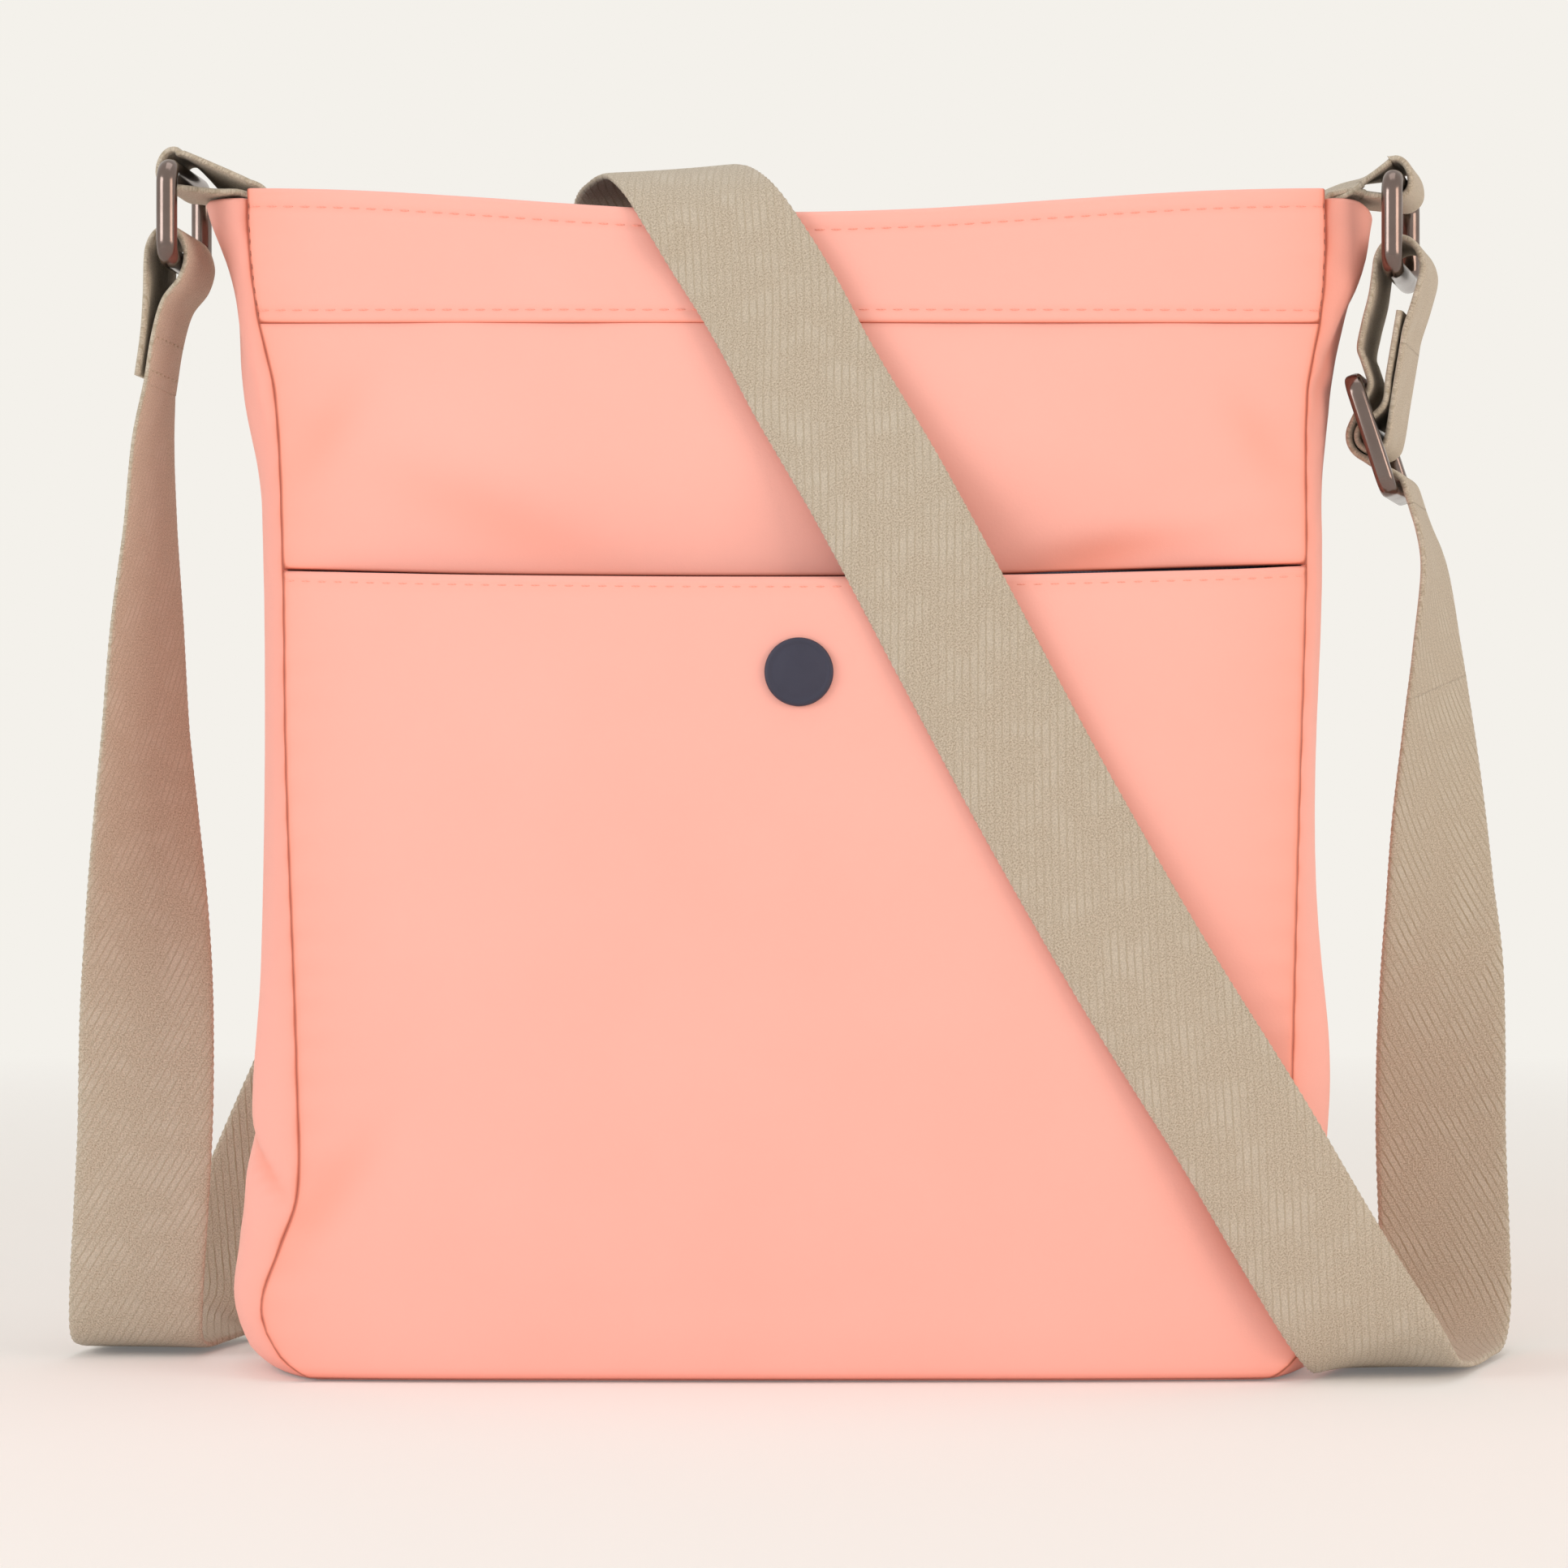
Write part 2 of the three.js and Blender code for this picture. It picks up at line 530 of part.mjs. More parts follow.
function ringGeometry() {
  const path = new THREE.CurvePath();
  const [y, z, r] = [ringWidth / 2, ringHeight / 2, RING_CORNER];
  const corner = (sy, sz) => new THREE.Vector3(0, sy, sz - z);
  const turns = [
    [corner(y, z - r), corner(y, z), corner(y - r, z)],
    [corner(-y + r, z), corner(-y, z), corner(-y, z - r)],
    [corner(-y, -z + r), corner(-y, -z), corner(-y + r, -z)],
    [corner(y - r, -z), corner(y, -z), corner(y, -z + r)],
  ];
  turns.forEach(([from, bend, to], i) => {
    path.add(new THREE.QuadraticBezierCurve3(from, bend, to));
    path.add(new THREE.LineCurve3(to, turns[(i + 1) % turns.length][0]));
  });
  const outward = new THREE.Vector3(1, 0, 0);
  const rings = Array.from({ length: RING_STEPS }, (_, i) => {
    const centre = path.getPointAt(i / RING_STEPS);
    const side = path.getTangentAt(i / RING_STEPS).cross(outward);
    return Array.from({ length: ROUND_SIDES }, (_, k) => {
      const angle = (2 * Math.PI * k) / ROUND_SIDES;
      return centre
        .clone()
        .addScaledVector(side, RING_WIRE * Math.cos(angle))
        .addScaledVector(outward, RING_WIRE * Math.sin(angle));
    });
  });
  return loft(rings, true);
}

// Half an ellipse over a bar at height z, from one x to another.
function arch(from, to, z, rise) {
  return arc([0, 0], 1, 180, 0, 8).map(([x, up]) => [between(from, to, (x + 1) / 2), z + rise * up]);
}

// Tab: from the sewn tail up over the top corner, round the ring's upper bar and back, x outwards.
function tabPath(reach, rise, crest) {
  const [x, z] = [-reach, -rise];
  const tail = x - 1.3;
  const low = [[tail, z - TAB_TAIL], [tail, z - 4.2], [x - 0.4, z - 1.9], [x + 2.6, z - 0.6], [x + 8, z - 0.4]];
  const under = arc([0, 0], loopRadius, -95, -19, 4);
  const over = arc([0, 0], loopRadius, 0, 120, 6).map(([a, b]) => [a, (b * crest) / loopRadius]);
  const inner = tail - ply;
  const high = [[x + 6.5, z + 3.8], [x + 2, z + 1.4], [x - 2, z - 0.7], [inner, z - 4.2], [inner, z - TAB_TAIL]];
  return [...low, ...under, ...over, ...high];
}

// A tab turns from its seam to the ring's yaw on the way out. Facing is the bag's side as a turn.
function twistedTab(path, corner, facing, yaw, reach) {
  const up = new THREE.Vector3(0, 0, 1);
  const stations = path.map(([x, z]) => {
    const turn = facing + yaw * THREE.MathUtils.smoothstep(x, -reach, -2 * RING_WIRE);
    const centre = new THREE.Vector3(x, 0, z).applyAxisAngle(up, turn).add(corner);
    return { centre, across: new THREE.Vector3(0, 1, 0).applyAxisAngle(up, turn) };
  });
  return ribbon(stations, TAB_WIDTH);
}

// Strap end looped over the left ring's lower bar: strap side first, sewn tail last, x outwards.
function sewnEndPath() {
  const bar = -ringDrop;
  const strapSide = [[5.6, bar - SEWN_LENGTH], [3.7, bar - 16], [1.5, bar - 8.9], [-2, bar - 4.3]];
  const tailSide = [[5.7, bar - 7.6], [6.3, bar - 16.4], [7.6, bar - SEWN_LENGTH + 2]];
  return [...strapSide, ...arch(-loopRadius, 5.5, bar, LOOP_RISE), ...tailSide];
}

// Adjuster frame: a is the way down along its plate, c is the way out of it, away from the bag.
const barRadius = ADJUSTER_BAR / 2;
const firstLayer = barRadius + 2 * SEAM_GAP + WEBBING / 2;
const secondLayer = firstLayer + ply;
const adjusterPoint = (a, c) => {
  const [sin, cos] = [Math.sin(ADJUSTER_TILT), Math.cos(ADJUSTER_TILT)];
  return [-ADJUSTER_INSET + a * sin + c * cos, -ADJUSTER_DROP - a * cos + c * sin];
};
// Arc round a bar at a, angles in degrees from the way out towards the way down.
const roundBar = (a, radius, from, to, steps) =>
  arc([0, a], radius, from, to, steps).map(([c, down]) => adjusterPoint(down, c));
// Webbing dives from one side of the plate to the other between two bars at this angle.
const diveAngle = THREE.MathUtils.radToDeg(Math.asin((firstLayer + secondLayer) / ADJUSTER_PITCH));

function adjusterGeometry() {
  const halfLength = ADJUSTER_PITCH + barRadius;
  const innerHalf = STRAP_WIDTH / 2 + 0.5;
  const halfWidth = innerHalf + ADJUSTER_SIDE;
  const rounded = (path, x0, y0, x1, y1, r) => {
    path.moveTo(x0 + r, y0);
    path.lineTo(x1 - r, y0);
    path.quadraticCurveTo(x1, y0, x1, y0 + r);
    path.lineTo(x1, y1 - r);
    path.quadraticCurveTo(x1, y1, x1 - r, y1);
    path.lineTo(x0 + r, y1);
    path.quadraticCurveTo(x0, y1, x0, y1 - r);
    path.lineTo(x0, y0 + r);
    path.quadraticCurveTo(x0, y0, x0 + r, y0);
    return path;
  };
  const bevel = barRadius * 0.45;
  const plate = rounded(
    new THREE.Shape(), -halfLength + bevel, -halfWidth + bevel, halfLength - bevel, halfWidth - bevel, 3);
  for (const side of [-1, 1]) {
    const middle = (side * ADJUSTER_PITCH) / 2;
    const reach = ADJUSTER_PITCH / 2 - barRadius + bevel;
    const wide = innerHalf + bevel;
    plate.holes.push(rounded(new THREE.Path(), middle - reach, -wide, middle + reach, wide, 1.5));
  }
  const geometry = new THREE.ExtrudeGeometry(plate, {
    depth: ADJUSTER_BAR - 2 * bevel, bevelThickness: bevel, bevelSize: bevel, bevelSegments: 2, curveSegments: 4,
  });
  // Its length lies along the plate's way down, its bars along Y, its thickness along the way out
  geometry.translate(0, 0, -ADJUSTER_BAR / 2 + bevel);
  geometry.rotateY(Math.PI / 2 - ADJUSTER_TILT);
  return geometry.translate(-ADJUSTER_INSET, 0, -ADJUSTER_DROP);
}

// Place on the sewn end: s runs up from the middle bar, inset is from the outer ply to the tail's side.
const sewnPly = (s, inset) => {
  const radius = firstLayer - inset;
  const [sin, cos] = [Math.sin(END_SPREAD), Math.cos(END_SPREAD)];
  return adjusterPoint(radius * sin - s * cos, radius * cos + s * sin);
};

function addHangers() {
  const left = new THREE.Group();
  left.position.set(-topCorner - LEFT_REACH, 0, BAG_HEIGHT + LEFT_RISE);
  left.rotation.z = Math.PI + LEFT_YAW;
  const right = new THREE.Group();
  right.position.set(topCorner + RIGHT_REACH, 0, BAG_HEIGHT + RIGHT_RISE);
  right.rotation.z = RIGHT_YAW;
  bag.add(left, right);

  const leftTab = tabPath(LEFT_REACH, LEFT_RISE, LEFT_CREST);
  const rightTab = tabPath(RIGHT_REACH, RIGHT_RISE, RIGHT_CREST);
  addPiece(bag, "tab_left", twistedTab(leftTab, left.position, Math.PI, LEFT_YAW, LEFT_REACH), BEIGE);
  addPiece(bag, "tab_right", twistedTab(rightTab, right.position, 0, RIGHT_YAW, RIGHT_REACH), BEIGE);
  addPiece(left, "ring_left", ringGeometry(), GUNMETAL);
  addPiece(right, "ring_right", ringGeometry(), GUNMETAL);
  addPiece(left, "strap_sewn_end", foldedWebbing(sewnEndPath(), STRAP_WIDTH), BEIGE);
  addPiece(right, "adjuster", adjusterGeometry(), GUNMETAL);

  // Strap's other end, round the middle bar and sewn back on itself
  const endTop = (THREADED_HALF_LENGTH + firstLayer * Math.sin(END_SPREAD)) / Math.cos(END_SPREAD);
  const spread = THREE.MathUtils.radToDeg(END_SPREAD);
  const tailInset = ply + SEAM_GAP / 2;
  const end = [
    sewnPly(endTop, 0), sewnPly(endTop / 2, 0), ...roundBar(0, firstLayer, spread, 250, 8),
    sewnPly(END_TAIL / 4, tailInset), sewnPly(END_TAIL / 2, tailInset), sewnPly(END_TAIL, tailInset),
  ];
  addPiece(right, "strap_adjuster_end", foldedWebbing(end, STRAP_WIDTH), BEIGE);

  // Running strap: outside the upper bar, inside round the middle bar, outside the lower bar
  const weave = [
    adjusterPoint(-THREADED_HALF_LENGTH, firstLayer),
    ...roundBar(-ADJUSTER_PITCH, firstLayer, 0, diveAngle, 3),
    ...roundBar(0, secondLayer, 180 + diveAngle, 180 - diveAngle, 6),
    ...roundBar(ADJUSTER_PITCH, firstLayer, -diveAngle, 0, 3),
    adjusterPoint(THREADED_HALF_LENGTH, firstLayer),
  ];
  addPiece(right, "strap_weave", foldedWebbing(weave, STRAP_WIDTH), BEIGE);

  // Loop from the running strap over the ring's lower bar and down to the sewn end
  const clear = -THREADED_HALF_LENGTH - SEAM_GAP;
  const loop = [
    adjusterPoint(clear, firstLayer), adjusterPoint(clear - 2, firstLayer), [-6.6, -ringDrop - 12],
    [-5, -ringDrop - 5.6], ...arch(-4.2, 6.2, -ringDrop, LOOP_RISE), [4.6, -ringDrop - 6.6],
    sewnPly(endTop + 3, 0), sewnPly(endTop + SEAM_GAP, 0),
  ];
  addPiece(right, "strap_ring_loop", foldedWebbing(loop, STRAP_WIDTH), BEIGE);
}

// Route of the free strap: centre x, y, z, then the width direction x, y, z, from the left ring's
// sewn end down to the floor, up behind the bag, over its top, down across the front, and up again.
const STRAP_ROUTE = [
  [-140.7, 0.4, 216.6, 0.07, 1, 0],
  [-142, 0.4, 205, 0.15, 0.99, 0],
  [-142.6, 0.5, 186, 0.24, 0.97, 0],
  [-143.4, 1, 164, 0.4, 0.92, 0],
  [-143.8, 1.5, 141, 0.52, 0.86, 0],
  [-143.8, 2, 120, 0.68, 0.73, 0],
  [-143.7, 2.5, 98, 0.85, 0.53, 0],
  [-143.9, 3, 76, 0.96, 0.27, 0],
  [-144.3, 3.5, 52, 1, 0.09, 0],
  [-145.4, 4, 32, 1, 0.04, 0],
  [-146.6, 5.5, 14, 1, 0, 0],
  [-147, 9, 5, 1, -0.04, 0],
  [-146.4, 17, 2, 0.99, -0.1, 0],
  [-143, 31, 1.9, 0.97, -0.24, 0],
  [-138, 42, 6.2, 0.95, -0.25, -0.2],
  [-133, 47.5, 10, 0.92, -0.1, -0.38],
  [-127.5, 49, 22, 0.91, -0.03, -0.42],
  [-118, 48, 44, 0.91, 0, -0.42],
  [-100, 44, 84, 0.92, 0, -0.4],
  [-79, 39.5, 136, 0.93, 0, -0.37],
  [-60, 34.5, 186, 0.93, 0, -0.36],
  [-44.5, 25.5, 227, 0.93, 0.05, -0.35],
  [-37.5, 22.4, 246, 0.92, 0.1, -0.36],
  [-34.2, 17.6, 258.4, 0.9, 0.28, -0.24],
  [-31, 7.5, 263.8, 0.88, 0.46, 0],
  [-27, -1.5, 265.2, 0.87, 0.47, 0.12],
  [-22.6, -11, 262, 0.87, 0.4, 0.28],
  [-17.6, -18, 255.3, 0.87, 0.24, 0.43],
  [-11.4, -21.3, 246, 0.87, 0.08, 0.48],
  [-3.5, -25, 233, 0.87, 0.08, 0.49],
  [5.4, -28.8, 216, 0.87, 0.08, 0.49],
  [18, -35, 194, 0.87, 0.05, 0.49],
  [27.6, -38.8, 176, 0.87, 0, 0.49],
  [37, -40.4, 158, 0.87, 0, 0.49],
  [55.8, -41, 123, 0.87, 0, 0.49],
  [76, -40.6, 88, 0.87, 0, 0.49],
  [97.6, -39.4, 53.5, 0.87, 0, 0.49],
  [110.3, -38.2, 32, 0.875, -0.02, 0.485],
  [119.5, -36.4, 17, 0.885, -0.06, 0.465],
  [126.5, -31.5, 7.6, 0.92, -0.22, 0.33],
  [131.5, -22, 2.8, 0.9, -0.42, 0.1],
  [137, -8, 1.4, 0.9, -0.44, 0],
  [142.5, 5, 1.5, 0.92, -0.38, 0],
  [147.5, 17, 3.8, 0.96, -0.26, -0.06],
  [150, 24.5, 11, 0.99, -0.12, -0.04],
  [150.4, 27.5, 24, 1, -0.02, 0],
  [149.6, 27.5, 48, 1, 0.02, 0],
  [149.2, 24.5, 67, 1, 0.07, 0],
  [148.9, 21, 86, 0.97, 0.24, 0],
  [147.8, 17, 104, 0.87, 0.48, 0],
  [146.6, 12, 123, 0.77, 0.64, 0],
  [145.7, 7.5, 141, 0.63, 0.78, 0],
  [144.8, 3.5, 159, 0.47, 0.88, 0],
  [143.4, -0.6, 178, 0.3, 0.95, 0],
  [141.6, -1.3, 185.5, 0.25, 0.97, 0],
  [140.1, -0.9, 190.3, 0.24, 0.97, 0],
];
const LEFT_END = 13; // route point on the floor where the left stretch ends
const RIGHT_START = 41; // route point on the floor where the right stretch starts

function addFreeStrap() {
  const centres = new THREE.CatmullRomCurve3(STRAP_ROUTE.map((p) => new THREE.Vector3(p[0], p[1], p[2])));
  const widths = new THREE.CatmullRomCurve3(STRAP_ROUTE.map((p) => new THREE.Vector3(p[3], p[4], p[5])));
  const spans = STRAP_ROUTE.length - 1;
  const joint = 0.012; // share of a span left free at each end of a stretch
  const stretch = (first, last) => {
    const steps = Math.round((last - first) * 2);
    const [from, to] = [first + joint, last - joint];
    const stations = Array.from({ length: steps + 1 }, (_, i) => {
      const at = between(from, to, i / steps) / spans;
      return { centre: centres.getPoint(at), across: widths.getPoint(at), heading: centres.getTangent(at) };
    });
    return ribbon(stations, STRAP_WIDTH);
  };
  addPiece(bag, "strap_left", stretch(0, LEFT_END), BEIGE);
  addPiece(bag, "strap_middle", stretch(LEFT_END, RIGHT_START), BEIGE);
  addPiece(bag, "strap_right", stretch(RIGHT_START, spans), BEIGE);
}

addPanels();
addLinings();
addZip();
addButton();
addHangers();
addFreeStrap();

export default bag;
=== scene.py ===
"""A crossbody bag of coated cloth with a long webbing strap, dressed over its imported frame.

Lengths in the classes are millimetres in the frame's axes: +Z up, the front faces -Y, the origin
is on the floor under the middle of the base. Meshes are made in metres.
"""

import logging
import math
from dataclasses import dataclass
from enum import Enum
from typing import Any, Callable, Sequence

import bpy
import numpy as np
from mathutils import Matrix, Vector


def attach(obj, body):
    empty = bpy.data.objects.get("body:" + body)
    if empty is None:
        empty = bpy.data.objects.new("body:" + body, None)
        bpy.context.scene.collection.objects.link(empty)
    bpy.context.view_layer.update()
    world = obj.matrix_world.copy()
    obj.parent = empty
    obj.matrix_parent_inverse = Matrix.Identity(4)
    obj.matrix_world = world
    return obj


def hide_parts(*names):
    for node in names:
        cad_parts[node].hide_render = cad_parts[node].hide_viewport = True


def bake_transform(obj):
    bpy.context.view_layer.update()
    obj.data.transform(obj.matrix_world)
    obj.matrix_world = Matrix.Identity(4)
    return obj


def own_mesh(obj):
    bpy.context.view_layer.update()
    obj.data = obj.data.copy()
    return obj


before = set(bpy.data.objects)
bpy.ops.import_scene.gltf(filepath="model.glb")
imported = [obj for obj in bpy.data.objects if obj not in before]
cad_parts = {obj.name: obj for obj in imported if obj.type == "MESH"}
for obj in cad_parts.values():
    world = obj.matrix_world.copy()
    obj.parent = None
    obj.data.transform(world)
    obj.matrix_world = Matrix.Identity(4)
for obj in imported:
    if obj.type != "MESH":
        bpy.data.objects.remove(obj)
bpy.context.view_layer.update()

MM = 0.001
LOG = logging.getLogger("crossbody_bag")
WAVE_PERIOD = math.pi / 10  # length of one wave in Blender's wave texture at a scale of one
SHARE, FIRST, SECOND, BLEND = 0, 6, 7, 2  # sockets of Blender's Mix node when it blends colours
RIM_BULGE = 0.42  # share of the cloth's thickness by which a raw edge is rounded outwards

# Depth of painted shade, from 0 to 1, on an inner face, a raw edge and a sewn line, and for 1 mm of
# a dent
INNER_SHADE, RIM_SHADE, SEWN_SHADE, DENT_SHADE = 0.35, 0.3, 0.12, 0.3

# Layers of painted shade next to an edge, each with its depth of shade and its reach in millimetres
PANEL_SEAM_SHADE = ((1.0, 0.5), (0.3, 10.0))
GUSSET_SEAM_SHADE = ((1.0, 0.6), (0.3, 9.0))
GUSSET_FLOOR_SHADE = ((0.4, 3.0),)

# Waves of slack cloth, each with its height, its run across and up, and its start in radians
SLACK_WAVES = ((0.45, 0.9, 0.35, 1.3), (0.35, 0.4, -1.1, 4.1), (0.2, 1.7, 1.2, 2.2))

Tree, Node, Socket = bpy.types.NodeTree, bpy.types.Node, bpy.types.NodeSocket
Material, Piece = bpy.types.Material, bpy.types.Object
Points = np.ndarray
Curve = Callable[[Points], Points]
Pairs = tuple[tuple[float, float], ...]
Route = list[tuple[float, float]]


class Side(Enum):
    """The two sides of the bag, as seen by someone facing the pocket."""

    LEFT = -1
    RIGHT = 1


class Face(Enum):
    """The front and back of the bag, as the sign of Y."""

    FRONT = -1
    BACK = 1


def linear(hex_colour: str) -> tuple[float, float, float, float]:
    """Turns an sRGB hex colour into linear values.

    Args:
        hex_colour: Six hex digits after a hash sign.

    Returns:
        Red, green, blue and an alpha of one.
    """
    shares = [int(hex_colour[i : i + 2], 16) / 255 for i in (1, 3, 5)]
    red, green, blue = (s / 12.92 if s <= 0.04045 else ((s + 0.055) / 1.055) ** 2.4 for s in shares)
    return red, green, blue, 1.0


def add_node(
    tree: Tree, kind: str, inputs: dict[Any, Any] | None = None, **settings: Any
) -> Node:
    """Adds a node with its settings, and fills or links its inputs.

    Args:
        tree: Tree that gets the node.
        kind: Blender's name for the type of node.
        inputs: Hex colour, other value or output socket for each input, by name or place.
        **settings: Properties of the node itself.

    Returns:
        The new node.
    """
    node = tree.nodes.new(kind)
    for name, value in settings.items():
        setattr(node, name, value)
    for key, value in (inputs or {}).items():
        if isinstance(value, Socket):
            tree.links.new(value, node.inputs[key])
        else:
            is_colour = isinstance(value, str)
            node.inputs[key].default_value = linear(value) if is_colour else value
    return node


def new_material(name: str) -> tuple[Material, Tree]:
    """Starts a material with no nodes.

    Args:
        name: Name of the finish.

    Returns:
        The material and its tree.
    """
    material = bpy.data.materials.new(name)
    material.use_nodes = True
    material.node_tree.nodes.clear()
    return material, material.node_tree


def per_metre(size: float) -> float:
    """Texture scale on coordinates in metres for features of a size in millimetres."""
    return 1 / (size * MM)


class Finish:
    """What a piece is made of, and how its surface was made."""

    name: str

    def surface(self, tree: Tree) -> dict[str, Any]:
        """Adds the patterns of the finish.

        Args:
            tree: Tree of the material.

        Returns:
            Inputs of the shader.
        """
        raise NotImplementedError

    def material(self) -> Material:
        """Makes the material.

        Returns:
            The material.
        """
        material, tree = new_material(self.name)
        shader = add_node(tree, "ShaderNodeBsdfPrincipled", self.surface(tree))
        add_node(tree, "ShaderNodeOutputMaterial", {"Surface": shader.outputs["BSDF"]})
        return material


class WornFinish(Finish):
    """Surface with a fine relief all over, worn in patches by use."""

    colour: str
    worn_colour: str
    roughness: tuple[float, float]
    patch: float
    relief: float
    relief_depth: float
    detail: tuple[float, float] = (4.0, 2.0)
    unevenness: tuple[float, float] = (0.5, 0.5)
    bump: float
    metallic: float = 0.0

    def surface(self, tree: Tree) -> dict[str, Any]:
        """Adds the worn patches and the relief.

        Args:
            tree: Tree of the material.

        Returns:
            Inputs of the shader.
        """
        place = add_node(tree, "ShaderNodeTexCoord").outputs["Object"]
        patches, relief = (
            add_node(
                tree, "ShaderNodeTexNoise",
                {"Vector": place, "Scale": per_metre(size), "Detail": detail, "Roughness": rough},
            ).outputs["Fac"]
            for size, detail, rough in zip(
                (self.patch, self.relief), self.detail, self.unevenness))
        coat = add_node(
            tree, "ShaderNodeMix", {SHARE: patches, FIRST: self.colour, SECOND: self.worn_colour},
            data_type="RGBA")
        low, high = self.roughness
        rough = add_node(
            tree, "ShaderNodeMapRange", {"Value": patches, "To Min": low, "To Max": high})
        bump = add_node(
            tree, "ShaderNodeBump",
            {"Height": relief, "Strength": self.bump, "Distance": self.relief_depth * MM})
        return {
            "Base Color": coat.outputs[BLEND], "Roughness": rough.outputs["Result"],
            "Normal": bump.outputs["Normal"], "Metallic": self.metallic}


@dataclass(frozen=True)
class CoatedCloth(WornFinish):
    """Polyester cloth with a soft polyurethane coat: an even matte colour with a faint fine grain.

    Folds get a painted deeper colour, for the light passed between the two warm sides of a crease,
    and the bottom of a seam a painted shadow, darker still. The same painted shade darkens dents,
    sewn lines, raw edges, inner faces and the cloth next to the floor. The grain is drawn coarser
    than the real 0.3 mm thread, so that it shows in the render.
    """

    name: str = "coated_polyester_coral"
    colour: str = "#FFB5A8"
    worn_colour: str = "#FFBBAF"
    roughness: tuple[float, float] = (0.57, 0.69)
    patch: float = 38.0
    relief: float = 0.7
    relief_depth: float = 0.7
    detail: tuple[float, float] = (3.0, 2.0)
    unevenness: tuple[float, float] = (0.5, 0.6)
    bump: float = 0.05
    # Painted shade: a deeper coral in folds for the light passed between their sides, and a dark
    # russet for the shadow at the bottom of a seam
    fold_colour: str = "#FC9074"
    seam_shadow_colour: str = "#AC523E"
    seam_shadow_from: float = 0.6
    sheen: float = 0.12
    specular: float = 0.3

    def surface(self, tree: Tree) -> dict[str, Any]:
        """Adds the painted shade of folds and seams, whose depth it reads from a mesh attribute.

        Args:
            tree: Tree of the material.

        Returns:
            Inputs of the shader.
        """
        inputs = super().surface(tree)
        fold = add_node(tree, "ShaderNodeAttribute", attribute_name="fold").outputs["Fac"]
        seam_shadow = add_node(tree, "ShaderNodeMapRange", {"Value": fold, "From Min": self.seam_shadow_from})
        shaded = inputs["Base Color"]
        for share, colour in (
            (fold, self.fold_colour), (seam_shadow.outputs["Result"], self.seam_shadow_colour)
        ):
            shaded = add_node(
                tree, "ShaderNodeMix", {SHARE: share, FIRST: shaded, SECOND: colour},
                data_type="RGBA").outputs[BLEND]
        return {
            **inputs, "Base Color": shaded, "Sheen Weight": self.sheen, "Sheen Roughness": 0.5,
            "Specular IOR Level": self.specular}


@dataclass(frozen=True)
class TwillWebbing(Finish):
    """Woven cotton webbing: twill lines that come and go, a fibrous grain and a dusty sheen.

    The lines are clearer on its reverse. It reads the UV map "weave", in which one unit is the
    width of the strap. The 1 mm rib of such webbing is drawn 1.7 mm apart, so that it shows in the
    render.
    """

    name: str = "twill_cotton_webbing_beige"
    colour: str = "#CFC3B1"
    line_colour: str = "#A6977F"
    fibre_colour: str = "#A19380"
    pale_colour: str = "#D3CBBD"
    width: float = 30.0
    rib: float = 1.7
    slant_degrees: float = -28.0
    face_lines: float = 0.6
    fuzz: float = 0.36
    fuzz_height: float = 1.5
    patch: float = 9.0
    roughness: float = 0.88
    bump: float = 0.5
    bump_depth: float = 0.3
    sheen: float = 0.2
    specular: float = 0.2

    def surface(self, tree: Tree) -> dict[str, Any]:
        """Adds the twill lines, the fibres and the dusty patches.

        Args:
            tree: Tree of the material.

        Returns:
            Inputs of the shader.
        """
        weave = add_node(tree, "ShaderNodeUVMap", uv_map="weave").outputs["UV"]
        slant = (0, 0, math.radians(self.slant_degrees))
        turned = add_node(tree, "ShaderNodeMapping", {"Vector": weave, "Rotation": slant})
        ribs = add_node(
            tree, "ShaderNodeTexWave",
            {"Vector": turned.outputs["Vector"], "Scale": self.width / self.rib * WAVE_PERIOD,
             "Distortion": 1.2, "Detail": 3.0, "Detail Scale": 3.0, "Detail Roughness": 0.6},
            bands_direction="X")
        fuzz, patches = (
            add_node(
                tree, "ShaderNodeTexNoise",
                {"Vector": weave, "Scale": self.width / size, "Detail": 3.0, "Roughness": rough},
            ).outputs["Fac"]
            for size, rough in ((self.fuzz, 0.7), (self.patch, 0.6)))
        reverse = add_node(tree, "ShaderNodeAttribute", attribute_name="reverse").outputs["Fac"]
        groove, clear, shown, fibre, dust = (
            add_node(tree, "ShaderNodeMapRange", {"Value": value, **ends}).outputs["Result"]
            for value, ends in (
                (ribs.outputs["Fac"], {"From Min": 0.25, "From Max": 0.02}),
                (reverse, {"To Min": self.face_lines}),
                (patches, {"From Min": 0.35, "From Max": 0.65, "To Min": 0.1, "To Max": 0.95}),
                (fuzz, {"From Min": 0.4, "From Max": 0.64}),
                (patches, {"From Min": 0.45, "From Max": 0.75, "To Max": 0.5})))
        lines = groove
        for share in (clear, shown):
            lines = add_node(
                tree, "ShaderNodeMath", {0: lines, 1: share}, operation="MULTIPLY").outputs["Value"]
        height = add_node(
            tree, "ShaderNodeMath", {0: fuzz, 1: self.fuzz_height, 2: lines},
            operation="MULTIPLY_ADD").outputs["Value"]
        bump = add_node(
            tree, "ShaderNodeBump",
            {"Height": height, "Strength": self.bump, "Distance": self.bump_depth * MM},
            invert=True)
        woven = self.colour
        for share, colour in (
            (fibre, self.fibre_colour), (dust, self.pale_colour), (lines, self.line_colour)
        ):
            woven = add_node(
                tree, "ShaderNodeMix", {SHARE: share, FIRST: woven, SECOND: colour},
                data_type="RGBA").outputs[BLEND]
        return {
            "Base Color": woven, "Normal": bump.outputs["Normal"], "Roughness": self.roughness,
            "Sheen Weight": self.sheen, "Sheen Roughness": 0.6,
            "Specular IOR Level": self.specular}


